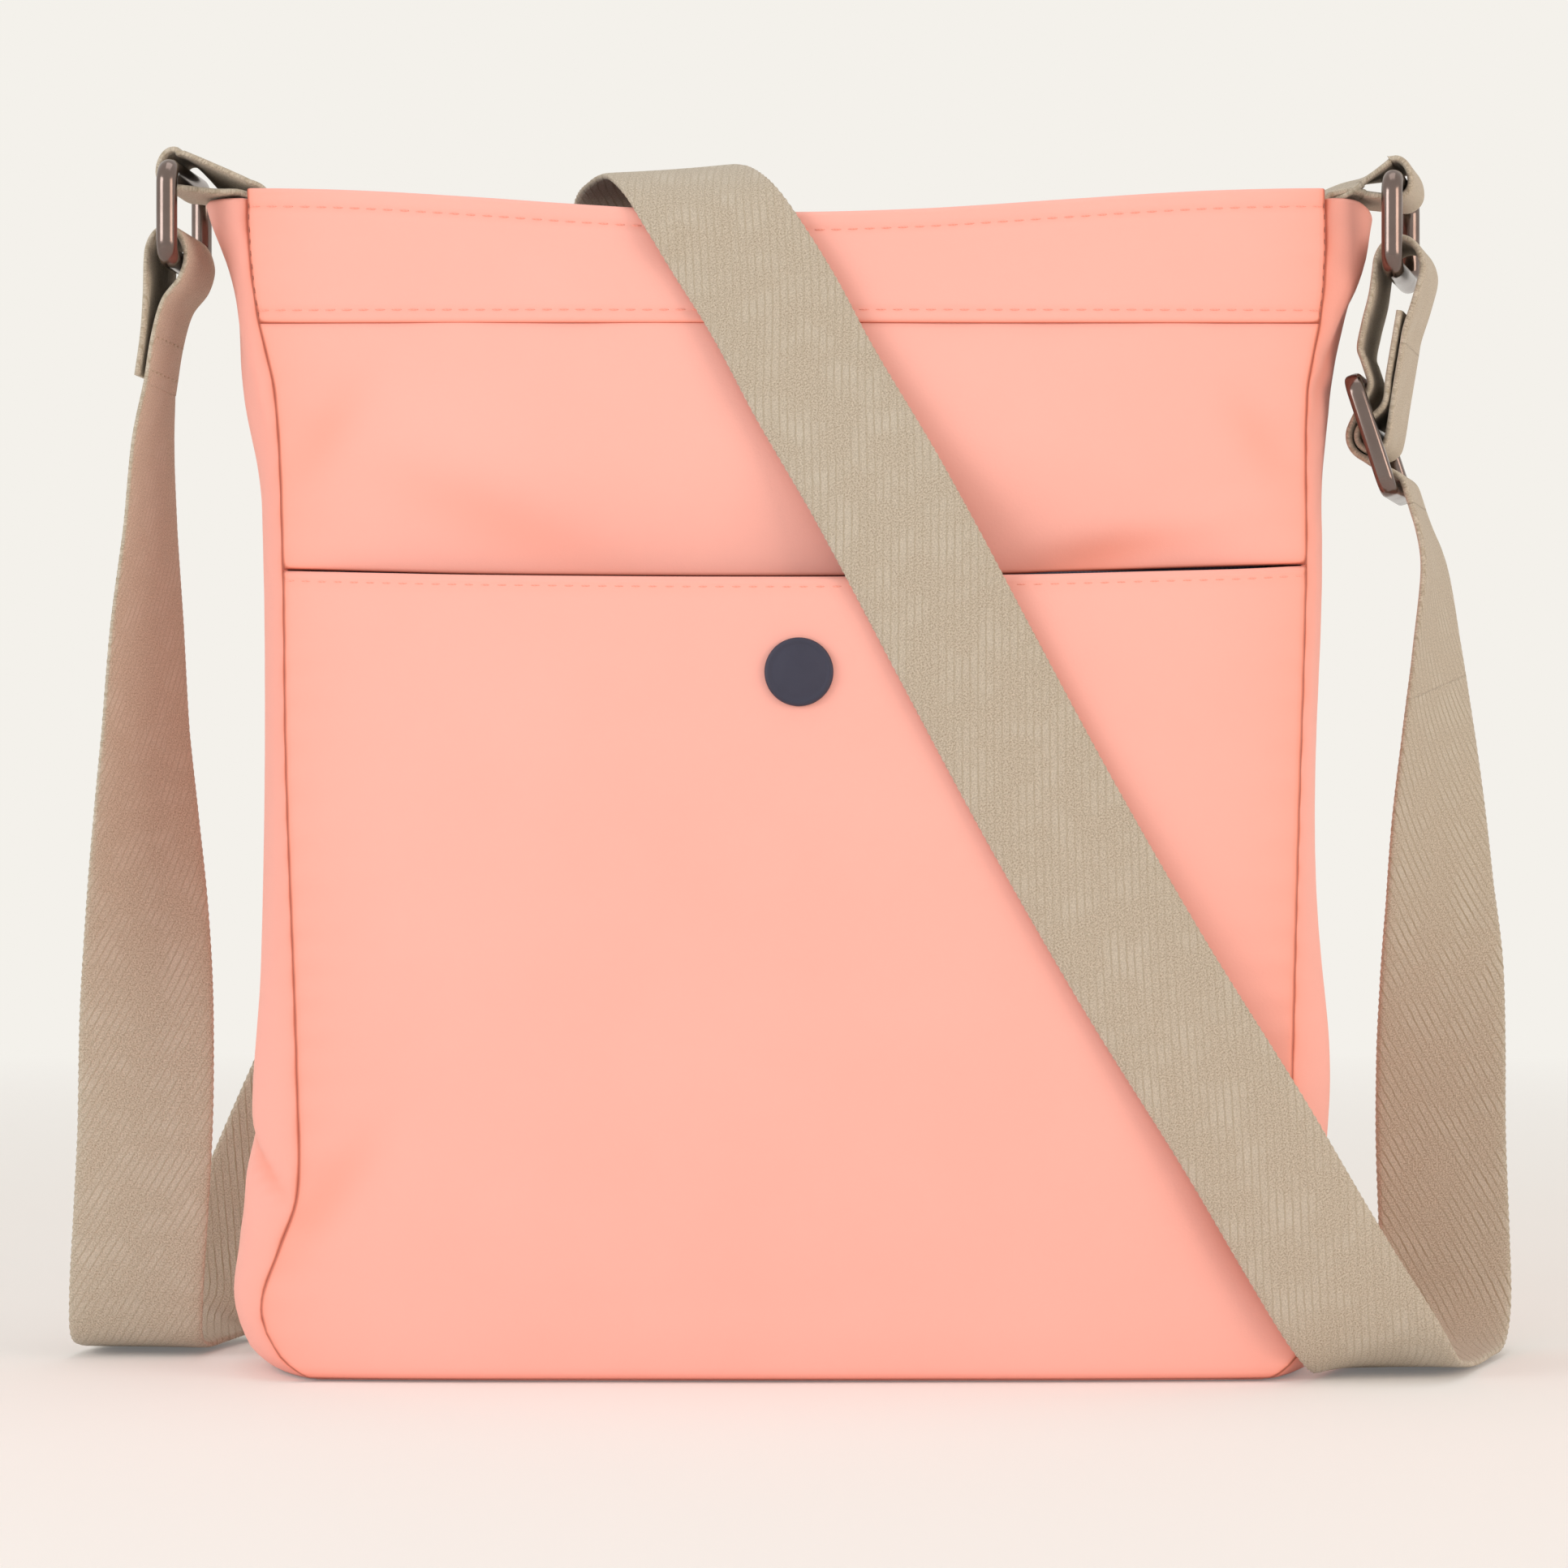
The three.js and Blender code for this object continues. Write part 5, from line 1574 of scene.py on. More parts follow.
@dataclass
class Hanger:
    """One ring with its sewn tab, about the ring's upper bar, with X pointing outwards."""

    side: Side
    metal: Material
    webbing: Webbing
    tab_webbing: Webbing
    yaw_degrees: float
    reach: float
    rise: float
    crest: float
    bag_corner: tuple[float, float] = (118.5, 260.0)
    wire: float = 2.3
    inner_width: float = 33.0
    inner_height: float = 14.8
    corner: float = 3.5
    tab_tail: float = 14.0
    tab_droop: float = 0.2
    loop_rise: float = 6.9
    gap: float = 0.3
    wire_sides: int = 24
    ring_steps: int = 180
    corner_steps: int = 10

    @property
    def drop(self) -> float:
        """Distance from the ring's upper bar to its lower one."""
        return self.inner_height + 2 * self.wire

    @property
    def loop(self) -> float:
        """Radius of the middle of webbing that lies round the wire."""
        return self.wire + self.gap + self.webbing.thickness / 2

    @property
    def ply(self) -> float:
        """Spacing of two layers of webbing."""
        return self.webbing.thickness + self.gap

    @property
    def body(self) -> str:
        """Body that the ring belongs to."""
        return f"{self.side.name.lower()}_hanger"

    def to_world(self, points: Points, turn: Points | float | None = None) -> Points:
        """Sets local points in the frame of the bag.

        Args:
            points: Local points, X outwards.
            turn: Yaw in radians in place of the hanger's own.

        Returns:
            The points in the frame of the bag.
        """
        yaw = math.radians(self.yaw_degrees) if turn is None else turn
        x, y, z = np.asarray(points, float).T
        cos, sin = np.cos(yaw), np.sin(yaw)
        out = np.stack([x * cos - y * sin, x * sin + y * cos, z], axis=1)
        if self.side is Side.LEFT:
            out[:, :2] *= -1
        x, z = self.bag_corner
        return out + np.array([self.side.value * (x + self.reach), 0, z + self.rise])

    @staticmethod
    def arc(
        x: float, z: float, radius: float, start: float, end: float, steps: int
    ) -> Route:
        """Points of an arc in the XZ plane, angles in degrees from X towards Z."""
        angles = np.radians(np.linspace(start, end, steps + 1))
        return [(x + radius * math.cos(a), z + radius * math.sin(a)) for a in angles]

    def arch(self, start: float, end: float) -> Route:
        """Half an ellipse over the ring's lower bar, from one local X to another."""
        return [
            (start + (end - start) * (x + 1) / 2, self.loop_rise * up - self.drop)
            for x, up in self.arc(0, 0, 1, 180, 0, 8)]

    def folded(self, name: str, path: Sequence[tuple[float, float]]) -> Piece:
        """Makes webbing whose width runs along the ring's bars.

        Args:
            name: Name of the piece.
            path: Local X and Z of its route.

        Returns:
            The object.
        """
        local = np.array([(x, 0, z) for x, z in path])
        across = self.to_world(local + np.array([0, 1, 0])) - self.to_world(local)
        return self.webbing.along_points(name, self.to_world(local), across)

    def build_ring(self) -> None:
        """Makes the ring of round wire."""
        half_width, z = self.inner_width / 2 + self.wire, self.drop / 2
        flat = rounded_rectangle(half_width, z, self.corner, self.corner_steps)
        line = np.column_stack([np.zeros(len(flat)), flat[:, 0], flat[:, 1] - z])
        line = np.concatenate([line, line[:1]])
        run = run_along(line)
        path = resampled(line, run, np.linspace(0, run[-1], self.ring_steps, endpoint=False))
        ahead = unit(np.roll(path, -1, axis=0) - np.roll(path, 1, axis=0))
        outward = np.array([1.0, 0.0, 0.0])
        turn = np.linspace(0, 2 * math.pi, self.wire_sides, endpoint=False)
        rings = []
        for place, beside in zip(path, np.cross(ahead, outward)):
            spokes = np.outer(np.cos(turn), beside) + np.outer(np.sin(turn), outward)
            rings.append(self.to_world(place + self.wire * spokes))
        points, faces = tube(rings, closed=True)
        name = f"ring_{self.side.name.lower()}"
        ring = new_object(f"wire_{name}", points, faces, self.metal)
        settle(ring, self.body, "gunmetal", name)

    def build_tab(self) -> None:
        """Makes the tab, from its sewn tail over the top corner, round the upper bar and back."""
        x, z = -self.reach, -self.rise
        tail = x - 1.3
        inner = tail - self.ply
        path = [
            (tail, z - self.tab_tail), (tail, z - 4.2), (x - 0.4, z - 1.9), (x + 2.6, z - 0.6),
            (x + 8, z - 0.4)]
        path += self.arc(0, 0, self.loop, -95, -19, 4)
        path += [(a, b * self.crest / self.loop) for a, b in self.arc(0, 0, self.loop, 0, 120, 6)]
        path += [
            (x + 6.5, z + 3.8), (x + 2, z + 1.4), (x - 2, z - 0.7), (inner, z - 4.2),
            (inner, z - self.tab_tail)]
        local = np.array([(a, 0, b) for a, b in path])
        yaw = math.radians(self.yaw_degrees) * smoothstep(local[:, 0], -self.reach, -2 * self.wire)
        upper = np.arange(len(local)) > len(local) // 2
        droop = self.tab_droop * upper * smoothstep(-local[:, 0], self.wire, self.reach / 2)
        local[:, 2] -= droop * self.tab_webbing.width / 4
        beside = np.stack([np.zeros_like(droop), np.ones_like(droop), droop], axis=1)
        across = self.to_world(local + beside, yaw) - self.to_world(local, yaw)
        name = f"tab_{self.side.name.lower()}"
        piece = self.tab_webbing.along_points(f"webbing_{name}", self.to_world(local, yaw), across)
        settle(piece, "root", "beige_webbing", name)

    def build(self) -> None:
        """Makes the ring and the tab."""
        self.build_ring()
        self.build_tab()


@dataclass
class SewnHanger(Hanger):
    """Left hanger, with the end of the strap sewn round the ring's lower bar."""

    sewn_length: float = 27.6
    row_drops: tuple[float, float] = (17.2, 24.6)
    row_half_length: float = 12.5

    def sewn_path(self) -> Route:
        """Lays out the sewn end: strap side first, tail last.

        Returns:
            Local X and Z of its route.
        """
        bar = -self.drop
        strap = [(5.6, bar - self.sewn_length), (3.7, bar - 16), (1.5, bar - 8.9), (-2, bar - 4.3)]
        tail = [(5.7, bar - 7.6), (6.3, bar - 16.4), (7.6, bar - self.sewn_length + 2)]
        return [*strap, *self.arch(-self.loop, 5.5), *tail]

    def sewn_rows(self) -> list[Points]:
        """Lays out the stitches that hold the end: two rows, on both of its faces.

        Returns:
            Points of each row.
        """
        route = np.array(self.sewn_path())
        y = np.linspace(-self.row_half_length, self.row_half_length, 30)
        rows = []
        for line, out in ((route[:4], -1), (route[:-4:-1], 1)):
            for z in (-self.drop - drop for drop in self.row_drops):
                x = np.interp(z, line[:, 1], line[:, 0]) + out * self.webbing.thickness / 2
                row = np.stack([np.full_like(y, x), y, np.full_like(y, z)], axis=1)
                rows.append(self.to_world(row))
        return rows

    def build(self) -> None:
        """Makes the ring, the tab and the sewn end of the strap."""
        super().build()
        piece = self.folded("webbing_strap_sewn_end", self.sewn_path())
        settle(piece, self.body, "beige_webbing", "strap_sewn_end")


@dataclass
class AdjusterHanger(Hanger):
    """Right hanger: the strap goes round the ring's lower bar and through a three-bar adjuster."""

    adjuster_drop: float = 56.0
    inset: float = 4.85
    tilt_degrees: float = 18.0
    end_spread_degrees: float = 27.5
    end_tail: float = 28.0
    bar: float = 4.0
    pitch: float = 12.2
    frame_side: float = 4.0
    side_room: float = 0.5
    threaded_half: float = 17.0
    frame_corner: float = 3.0
    frame_power: float = 3.2
    bar_power: float = 2.4
    bar_steps: int = 24
    bar_sides: int = 20

    @property
    def first_layer(self) -> float:
        """Distance of the webbing next to the bars from their middle."""
        return self.bar / 2 + 2 * self.gap + self.webbing.thickness / 2

    @property
    def second_layer(self) -> float:
        """Distance of the webbing on top of that."""
        return self.first_layer + self.ply

    def plate_point(self, down: float, out: float) -> tuple[float, float]:
        """Local X and Z of a place down along the adjuster's plate and out of it."""
        tilt = math.radians(self.tilt_degrees)
        sin, cos = math.sin(tilt), math.cos(tilt)
        return -self.inset + down * sin + out * cos, -self.adjuster_drop - down * cos + out * sin

    def round_bar(
        self, down: float, radius: float, start: float, end: float, steps: int
    ) -> Route:
        """Arc round a bar, angles in degrees from the way out towards the way down."""
        return [self.plate_point(b, a) for a, b in self.arc(0, down, radius, start, end, steps)]

    def sewn_ply(self, up: float, inset: float) -> tuple[float, float]:
        """Place on the sewn end, up from the middle bar and in from its outer ply."""
        spread, radius = math.radians(self.end_spread_degrees), self.first_layer - inset
        sin, cos = math.sin(spread), math.cos(spread)
        return self.plate_point(radius * sin - up * cos, radius * cos + up * sin)

    def build_adjuster(self) -> None:
        """Makes the cast adjuster: a rounded frame and its middle bar, in one piece."""
        half_width = self.webbing.width / 2 + self.side_room + self.frame_side / 2
        frame_line = rounded_rectangle(
            self.pitch, half_width, self.frame_corner, self.corner_steps)
        around = np.roll(frame_line, -1, axis=0) - np.roll(frame_line, 1, axis=0)
        across = np.linspace(-half_width, half_width, self.bar_steps)
        bar_line = np.stack([np.zeros_like(across), across], axis=1)
        points, faces = tube(self.bar_rings(frame_line, unit(around), self.frame_power), True)
        ahead = unit(np.gradient(bar_line, axis=0))
        bar, quads = tube(self.bar_rings(bar_line, ahead, self.bar_power), False)
        faces += [[len(points) + corner for corner in quad] for quad in quads]
        piece = new_object("cast_adjuster", np.concatenate([points, bar]), faces, self.metal)
        settle(piece, "strap_adjuster", "gunmetal", "adjuster")

    def bar_rings(self, path: Points, ahead: Points, power: float) -> list[Points]:
        """Gives the rounded square sections of the adjuster's bars.

        Args:
            path: Places down the plate and across it.
            ahead: Direction of the path at the same places.
            power: Power of the rounding: 2 is a circle, more is squarer.

        Returns:
            A ring of points for each place.
        """
        turn = np.linspace(0, 2 * math.pi, self.bar_sides, endpoint=False)
        beside, out = (
            np.sign(wave) * np.abs(wave) ** (2 / power) * self.bar / 2
            for wave in (np.cos(turn), np.sin(turn)))
        rings = []
        for (down, across), (ahead_down, ahead_across) in zip(path, ahead):
            flat = [self.plate_point(a, c) for a, c in zip(down + beside * ahead_across, out)]
            y = across - beside * ahead_down
            rings.append(self.to_world(np.array([(x, b, z) for (x, z), b in zip(flat, y)])))
        return rings

    def build_webbing(self) -> None:
        """Makes the webbing that runs through the adjuster and round the ring."""
        half, pitch, drop = self.threaded_half, self.pitch, self.drop
        first, second = self.first_layer, self.second_layer
        spread = math.radians(self.end_spread_degrees)
        end_top = (half + first * math.sin(spread)) / math.cos(spread)
        inset = self.ply + self.gap / 2
        end = [
            self.sewn_ply(end_top, 0), self.sewn_ply(end_top / 2, 0),
            *self.round_bar(0, first, self.end_spread_degrees, 250, 8),
            *(self.sewn_ply(self.end_tail * share, inset) for share in (0.25, 0.5, 1))]
        piece = self.folded("webbing_adjuster_end", end)
        settle(piece, "strap_adjuster", "beige_webbing", "strap_adjuster_end")
        dive = math.degrees(math.asin((first + second) / pitch))
        weave = [
            self.plate_point(-half, first), *self.round_bar(-pitch, first, 0, dive, 3),
            *self.round_bar(0, second, 180 + dive, 180 - dive, 6),
            *self.round_bar(pitch, first, -dive, 0, 3), self.plate_point(half, first)]
        piece = self.folded("webbing_through_adjuster", weave)
        settle(piece, "strap_adjuster", "beige_webbing", "strap_weave")
        loop = [
            weave[0], self.plate_point(-half - 2, first), (-6.6, -drop - 12), (-5, -drop - 5.6),
            *self.arch(-4.2, 6.2), (4.6, -drop - 6.6), self.sewn_ply(end_top + 3, 0), end[0]]
        piece = self.folded("webbing_ring_loop", loop)
        ends = np.array([(0, 0, -drop), (weave[0][0], 0, weave[0][1])])
        top, foot = self.to_world(ends) * MM
        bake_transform(piece)
        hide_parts("strap_ring_loop")
        LOG.info("%s bends between the ring and the adjuster", piece.name)

    def build(self) -> None:
        """Makes the ring, the tab, the adjuster and the webbing through it."""
        super().build()
        self.build_adjuster()
        self.build_webbing()


def rounded_copy(
    node: str, name: str, material: Material, bevel: float, sharp_degrees: float = 35.0
) -> Piece:
    """Copies a small CAD piece with its edges rounded off.

    Args:
        node: CAD node to copy.
        name: Name of the new piece.
        material: Finish of the new piece.
        bevel: Radius of the rounded edges.
        sharp_degrees: Edges that turn by more than this are rounded.

    Returns:
        The object.
    """
    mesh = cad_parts[node].data
    corners = np.zeros(len(mesh.vertices) * 3)
    mesh.vertices.foreach_get("co", corners)
    rounded = np.round(corners.reshape(-1, 3) / MM, 3)
    places, merged = np.unique(rounded, axis=0, return_inverse=True)
    faces = [[int(merged.ravel()[v]) for v in p.vertices] for p in mesh.polygons]
    whole = [face for face in faces if len(set(face)) == 3]
    piece = new_object(name, places, whole, material, sharp_degrees=sharp_degrees)
    soften = piece.modifiers.new("soft_edges", "BEVEL")
    soften.width, soften.segments, soften.limit_method = bevel * MM, 3, "ANGLE"
    soften.angle_limit = math.radians(sharp_degrees)
    soften.harden_normals = True
    return piece


@dataclass
class PocketButton:
    """Bare riveted cap on the pocket, with its washer behind the cloth."""

    face: PanelFace
    plastic: Material
    metal: Material
    radius: float = 7.4
    height: float = 2.0
    x: float = 2.0
    drop: float = 22.0
    post_radius: float = 1.5
    post_length: float = 0.8
    steps: int = 72

    def build(self) -> None:
        """Makes the cap by turning its profile, and rounds off the washer."""
        form = self.face.form
        z = np.array([form.pocket_height - self.drop] * 3) + np.array([0, 0, 1.0])
        x = self.x - form.lean(z) + np.array([0, 1.0, 0])
        centre, beside, above = self.face.surface(x / form.seam_x(z), z)
        right = unit(beside - centre)
        out = unit(np.cross(right, above - centre))
        up = np.cross(out, right)
        r, h, low = self.radius, self.height, -form.cloth - 2 * form.seam_gap
        post = low - self.post_length
        # Radius and height of the turned outline, from the post's end to the middle of the cap
        profile = [
            (0.02, post), (self.post_radius, post), (self.post_radius, 0.15), (r * 0.96, 0.1),
            (r, 0.3), (r, 0.75), (r * 0.985, 1.1), (r * 0.95, 1.38), (r * 0.905, 1.5),
            (r * 0.86, 1.47), (r * 0.82, 1.36), (r * 0.76, 1.38), (r * 0.6, h * 0.82),
            (r * 0.4, h * 0.91), (r * 0.2, h * 0.97), (r * 0.02, h)]
        turn = np.linspace(0, 2 * math.pi, self.steps, endpoint=False)
        spin = np.outer(np.cos(turn), right) + np.outer(np.sin(turn), up)
        rings = [centre + rise * out + reach * spin for reach, rise in profile]
        cap = new_object("moulded_button_cap", *tube(rings, closed=False), self.plastic)
        settle(cap, "root", "navy_button", "button_cap")
        washer = rounded_copy("button_washer", "pressed_button_washer", self.metal, 0.15)
        settle(washer, "root", "gunmetal", "button_washer")


def nodes_modifier(
    name: str, tree: Tree, lines: Sequence[Points], values: dict[str, Any]
) -> Piece:
    """Runs a geometry tree on polylines and turns the result into a plain mesh.

    Args:
        name: Name of the piece.
        tree: Geometry tree with named inputs.
        lines: Polylines in millimetres.
        values: Value of each named input.

    Returns:
        The object, without its modifier.
    """
    points = np.concatenate(lines)
    starts = np.cumsum([0, *(len(line) for line in lines)])
    edges = [(i, i + 1) for a, b in zip(starts[:-1], starts[1:]) for i in range(a, b - 1)]
    mesh = bpy.data.meshes.new(name)
    mesh.from_pydata((points * MM).tolist(), edges, [])
    guide = bpy.data.objects.new(name, mesh)
    bpy.context.scene.collection.objects.link(guide)
    modifier = guide.modifiers.new("along_path", "NODES")
    modifier.node_group = tree
    for item in tree.interface.items_tree:
        if item.item_type == "SOCKET" and item.in_out == "INPUT" and item.name in values:
            modifier[item.identifier] = values[item.name]
    graph = bpy.context.evaluated_depsgraph_get()
    graph.update()
    result = bpy.data.meshes.new_from_object(guide.evaluated_get(graph), depsgraph=graph)
    guide.modifiers.clear()
    guide.data = result
    result.name = name
    return guide


def path_tree(name: str, inputs: Sequence[tuple[str, str]]) -> tuple[Tree, Node]:
    """Starts a geometry tree with named inputs.

    Args:
        name: Name of the tree.
        inputs: Name and socket type of each input after the geometry.

    Returns:
        The tree and its input node.
    """
    tree = bpy.data.node_groups.new(name, "GeometryNodeTree")
    tree.interface.new_socket("Geometry", in_out="INPUT", socket_type="NodeSocketGeometry")
    for label, kind in inputs:
        tree.interface.new_socket(label, in_out="INPUT", socket_type=kind)
    tree.interface.new_socket("Geometry", in_out="OUTPUT", socket_type="NodeSocketGeometry")
    return tree, add_node(tree, "NodeGroupInput")


def finish_tree(tree: Tree, geometry: Socket, material: Socket) -> None:
    """Ends a geometry tree: real mesh, smooth faces, material, output.

    Args:
        tree: Tree to end.
        geometry: Geometry to hand out.
        material: Material socket of the tree's input.
    """
    real = add_node(tree, "GeometryNodeRealizeInstances", {"Geometry": geometry})
    smooth = add_node(tree, "GeometryNodeSetShadeSmooth", {"Geometry": real.outputs["Geometry"]})
    dressed = add_node(
        tree, "GeometryNodeSetMaterial",
        {"Geometry": smooth.outputs["Geometry"], "Material": material})
    add_node(tree, "NodeGroupOutput", {"Geometry": dressed.outputs["Geometry"]})


def beads_along(
    tree: Tree, given: Node, rings: int, shape: dict[str, Any], pose: dict[str, Any]
) -> tuple[Socket, Socket]:
    """Sets beads along the polylines that a tree is given, one pitch apart.

    Args:
        tree: Tree that gets the nodes.
        given: Input node of the tree.
        rings: Rings of each bead.
        shape: Inputs that scale and move one bead.
        pose: Inputs that turn the beads on the line.

    Returns:
        The polylines as curves, and the beads.
    """
    line = add_node(tree, "GeometryNodeMeshToCurve", {"Mesh": given.outputs["Geometry"]})
    curve = line.outputs["Curve"]
    spaced = add_node(
        tree, "GeometryNodeResampleCurve", {"Curve": curve, "Length": given.outputs["Pitch"]},
        mode="LENGTH")
    ball = add_node(
        tree, "GeometryNodeMeshUVSphere", {"Segments": 8, "Rings": rings, "Radius": 0.5})
    bead = add_node(tree, "GeometryNodeTransform", {"Geometry": ball.outputs["Mesh"], **shape})
    row = add_node(
        tree, "GeometryNodeInstanceOnPoints",
        {"Points": spaced.outputs["Curve"], "Instance": bead.outputs["Geometry"], **pose})
    return curve, row.outputs["Instances"]


def stitch_tree() -> Tree:
    """Makes the tree that sets stitches along polylines.

    Returns:
        The tree.
    """
    tree, given = path_tree("stitches_along_path", (
        ("Pitch", "NodeSocketFloat"), ("Stitch Size", "NodeSocketVector"),
        ("Thread", "NodeSocketMaterial")))
    tangent = add_node(tree, "GeometryNodeInputTangent").outputs["Tangent"]
    aim = add_node(tree, "FunctionNodeAlignRotationToVector", {"Vector": tangent}, axis="X")
    _, sewn = beads_along(
        tree, given, 5, {"Scale": given.outputs["Stitch Size"]},
        {"Rotation": aim.outputs["Rotation"]})
    finish_tree(tree, sewn, given.outputs["Thread"])
    return tree


def teeth_tree() -> Tree:
    """Makes the tree that sets zip teeth and their cord along polylines.

    Returns:
        The tree.
    """
    tree, given = path_tree("zip_teeth_along_path", (
        ("Pitch", "NodeSocketFloat"), ("Tooth Size", "NodeSocketVector"),
        ("Tooth Place", "NodeSocketVector"), ("Cord Radius", "NodeSocketFloat"),
        ("Plastic", "NodeSocketMaterial")))
    shape = {
        "Scale": given.outputs["Tooth Size"], "Translation": given.outputs["Tooth Place"]}
    line, row = beads_along(tree, given, 6, shape, {})
    ring = add_node(
        tree, "GeometryNodeCurvePrimitiveCircle",
        {"Resolution": 8, "Radius": given.outputs["Cord Radius"]})
    cord = add_node(
        tree, "GeometryNodeCurveToMesh",
        {"Curve": line, "Profile Curve": ring.outputs["Curve"], "Fill Caps": True})
    both = add_node(tree, "GeometryNodeJoinGeometry")
    tree.links.new(row, both.inputs["Geometry"])
    tree.links.new(cord.outputs["Mesh"], both.inputs["Geometry"])
    finish_tree(tree, both.outputs["Geometry"], given.outputs["Plastic"])
    return tree


@dataclass
class TopZip:
    """Zip in the mouth of the bag, built closed. Open, it makes a V, each half along a slanting
    line.
    """

    form: BagForm
    tape: Material
    plastic: Material
    cloth: Material
    metal: Material
    plane: float = 249.5
    half_length: float = 104.0
    end_length: float = 9.0
    tape_thickness: float = 0.7
    chain_start: float = -92.8
    tooth: tuple[float, float, float] = (1.15, 2.9, 2.2)
    tooth_pitch: float = 2.6
    tooth_reach: float = 1.05
    cord_line: float = 2.0
    cord_radius: float = 0.6
    tape_edge: float = 2.9
    sewn_margin: float = 1.2
    folded_share: float = 0.06
    tape_rows: int = 9
    tape_columns: int = 105
    tape_slack: float = 0.12
    tape_slack_size: float = 23.0
    end_roll: float = 0.8
    end_shade: float = 0.15

    def band_inside(self, face: Face, x: Points) -> Points:
        """Gives the distance of a band's inner face from the middle plane at the zip's height.

        Args:
            face: Front or back.
            x: Places along the zip.

        Returns:
            The distances.
        """
        height = np.full_like(x, self.plane)
        u = x / self.form.seam_x(height)
        depth = self.form.upper_depth if face is Face.FRONT else self.form.back_depth
        return depth(u, height) - self.form.cloth - self.form.seam_gap

    def slant(self, face: Face) -> tuple[Points, Points]:
        """Ends of the line that one half of the chain folds to when the zip is open."""
        wide = float(self.band_inside(face, np.array(-self.half_length))) - self.sewn_margin
        start = np.array([-self.half_length, face.value * wide, self.plane])
        return start, np.array([self.half_length, face.value * (self.tape_edge + 0.4), self.plane])

    def fold_away(self, piece: Piece, face: Face) -> None:
        """Gives a piece a mesh of its own. The slanting line of its half is worked out but not
        used.

        Args:
            piece: Tape or row of teeth.
            face: Half that it belongs to.
        """
        start, end = self.slant(face)
        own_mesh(piece)

    def build_tape(self, face: Face) -> None:
        """Makes one tape: a part that stays sewn in, and a free part along the chain.

        Args:
            face: Half that it belongs to.
        """
        start, end = self.slant(face)
        along = np.linspace(-self.half_length, self.half_length, self.tape_columns)
        v, x = np.meshgrid(np.linspace(0, 1, self.tape_rows), along, indexing="ij")
        share = (x + self.half_length) / (2 * self.half_length)
        line = start[1] + (end[1] - start[1]) * share
        sewn = face.value * self.band_inside(face, x)
        edge = np.full_like(x, face.value * self.tape_edge)
        name = f"zip_tape_{face.name.lower()}"
        for part, near, far in (("sewn", sewn, line), ("free", line, edge)):
            y = near + (far - near) * v
            slack = self.tape_slack * ripple(x, y, self.tape_slack_size)
            outer = np.stack([x, y, self.plane + self.tape_thickness / 2 + slack], axis=-1)
            piece = cloth_sheet(f"{name}_{part}", outer, self.tape_thickness, (0, 0, 1), self.tape)
            settle(piece, "root", "navy_zip", *([name] if part == "sewn" else []))
            if part == "free":
                self.fold_away(piece, face)

    def build_chain(self, face: Face, tree: Tree) -> None:
        """Makes one row of teeth on its cord.

        Args:
            face: Half that it belongs to.
            tree: Geometry tree of the teeth.
        """
        first = self.chain_start + (0 if face is Face.FRONT else self.tooth_pitch / 2)
        x = np.arange(first, self.half_length - 1, self.tooth_pitch)
        line = np.column_stack(np.broadcast_arrays(x, face.value * self.cord_line, self.plane))
        name = f"zip_teeth_{face.name.lower()}"
        piece = nodes_modifier(f"moulded_{name}", tree, [line], {
            "Pitch": self.tooth_pitch * MM, "Tooth Size": [s * MM for s in self.tooth],
            "Tooth Place": [0.0, -face.value * self.tooth_reach * MM, 0.0],
            "Cord Radius": self.cord_radius * MM, "Plastic": self.plastic})
        settle(piece, "root", "navy_zip", name)
        self.fold_away(piece, face)

    def build_end(self, side: Side) -> None:
        """Makes the folded cloth that closes one end of the zip.

        Args:
            side: Side of the bag.
        """
        near = self.half_length + self.form.seam_gap
        u, v = np.meshgrid(crowded(-1, 1, 0.2, 21), crowded(0, 1, 0.15, 11))
        x = side.value * (near + self.end_length * v)
        front, back = (self.band_inside(f, x) for f in (Face.FRONT, Face.BACK))
        y = np.where(u < 0, u * front, u * back)
        inside = (1 - np.abs(2 * v - 1)) * self.end_length / 2
        z = self.plane + self.form.cloth - rolled(inside, self.end_roll)
        outer = np.stack([x, y, z], axis=-1)
        name = f"zip_end_{side.name.lower()}"
        piece = cloth_sheet(
            f"cloth_{name}", outer, 1.5 * self.form.cloth, (0, 0, 1), self.cloth,
            np.full_like(u, self.end_shade))
        settle(piece, "root", "coral_cloth", name)

    def build(self) -> None:
        """Makes the tapes, the chain, both ends, the slider and the pull."""
        tree = teeth_tree()
        for face in Face:
            self.build_tape(face)
            self.build_chain(face, tree)
        for side in Side:
            self.build_end(side)
        slider = rounded_copy("zip_slider", "cast_zip_slider", self.metal, 0.25)
        settle(slider, "slider", "gunmetal", "zip_slider")
        pull = rounded_copy("zip_pull", "cast_zip_pull", self.metal, 0.3)
        settle(pull, "pull", "gunmetal", "zip_pull")


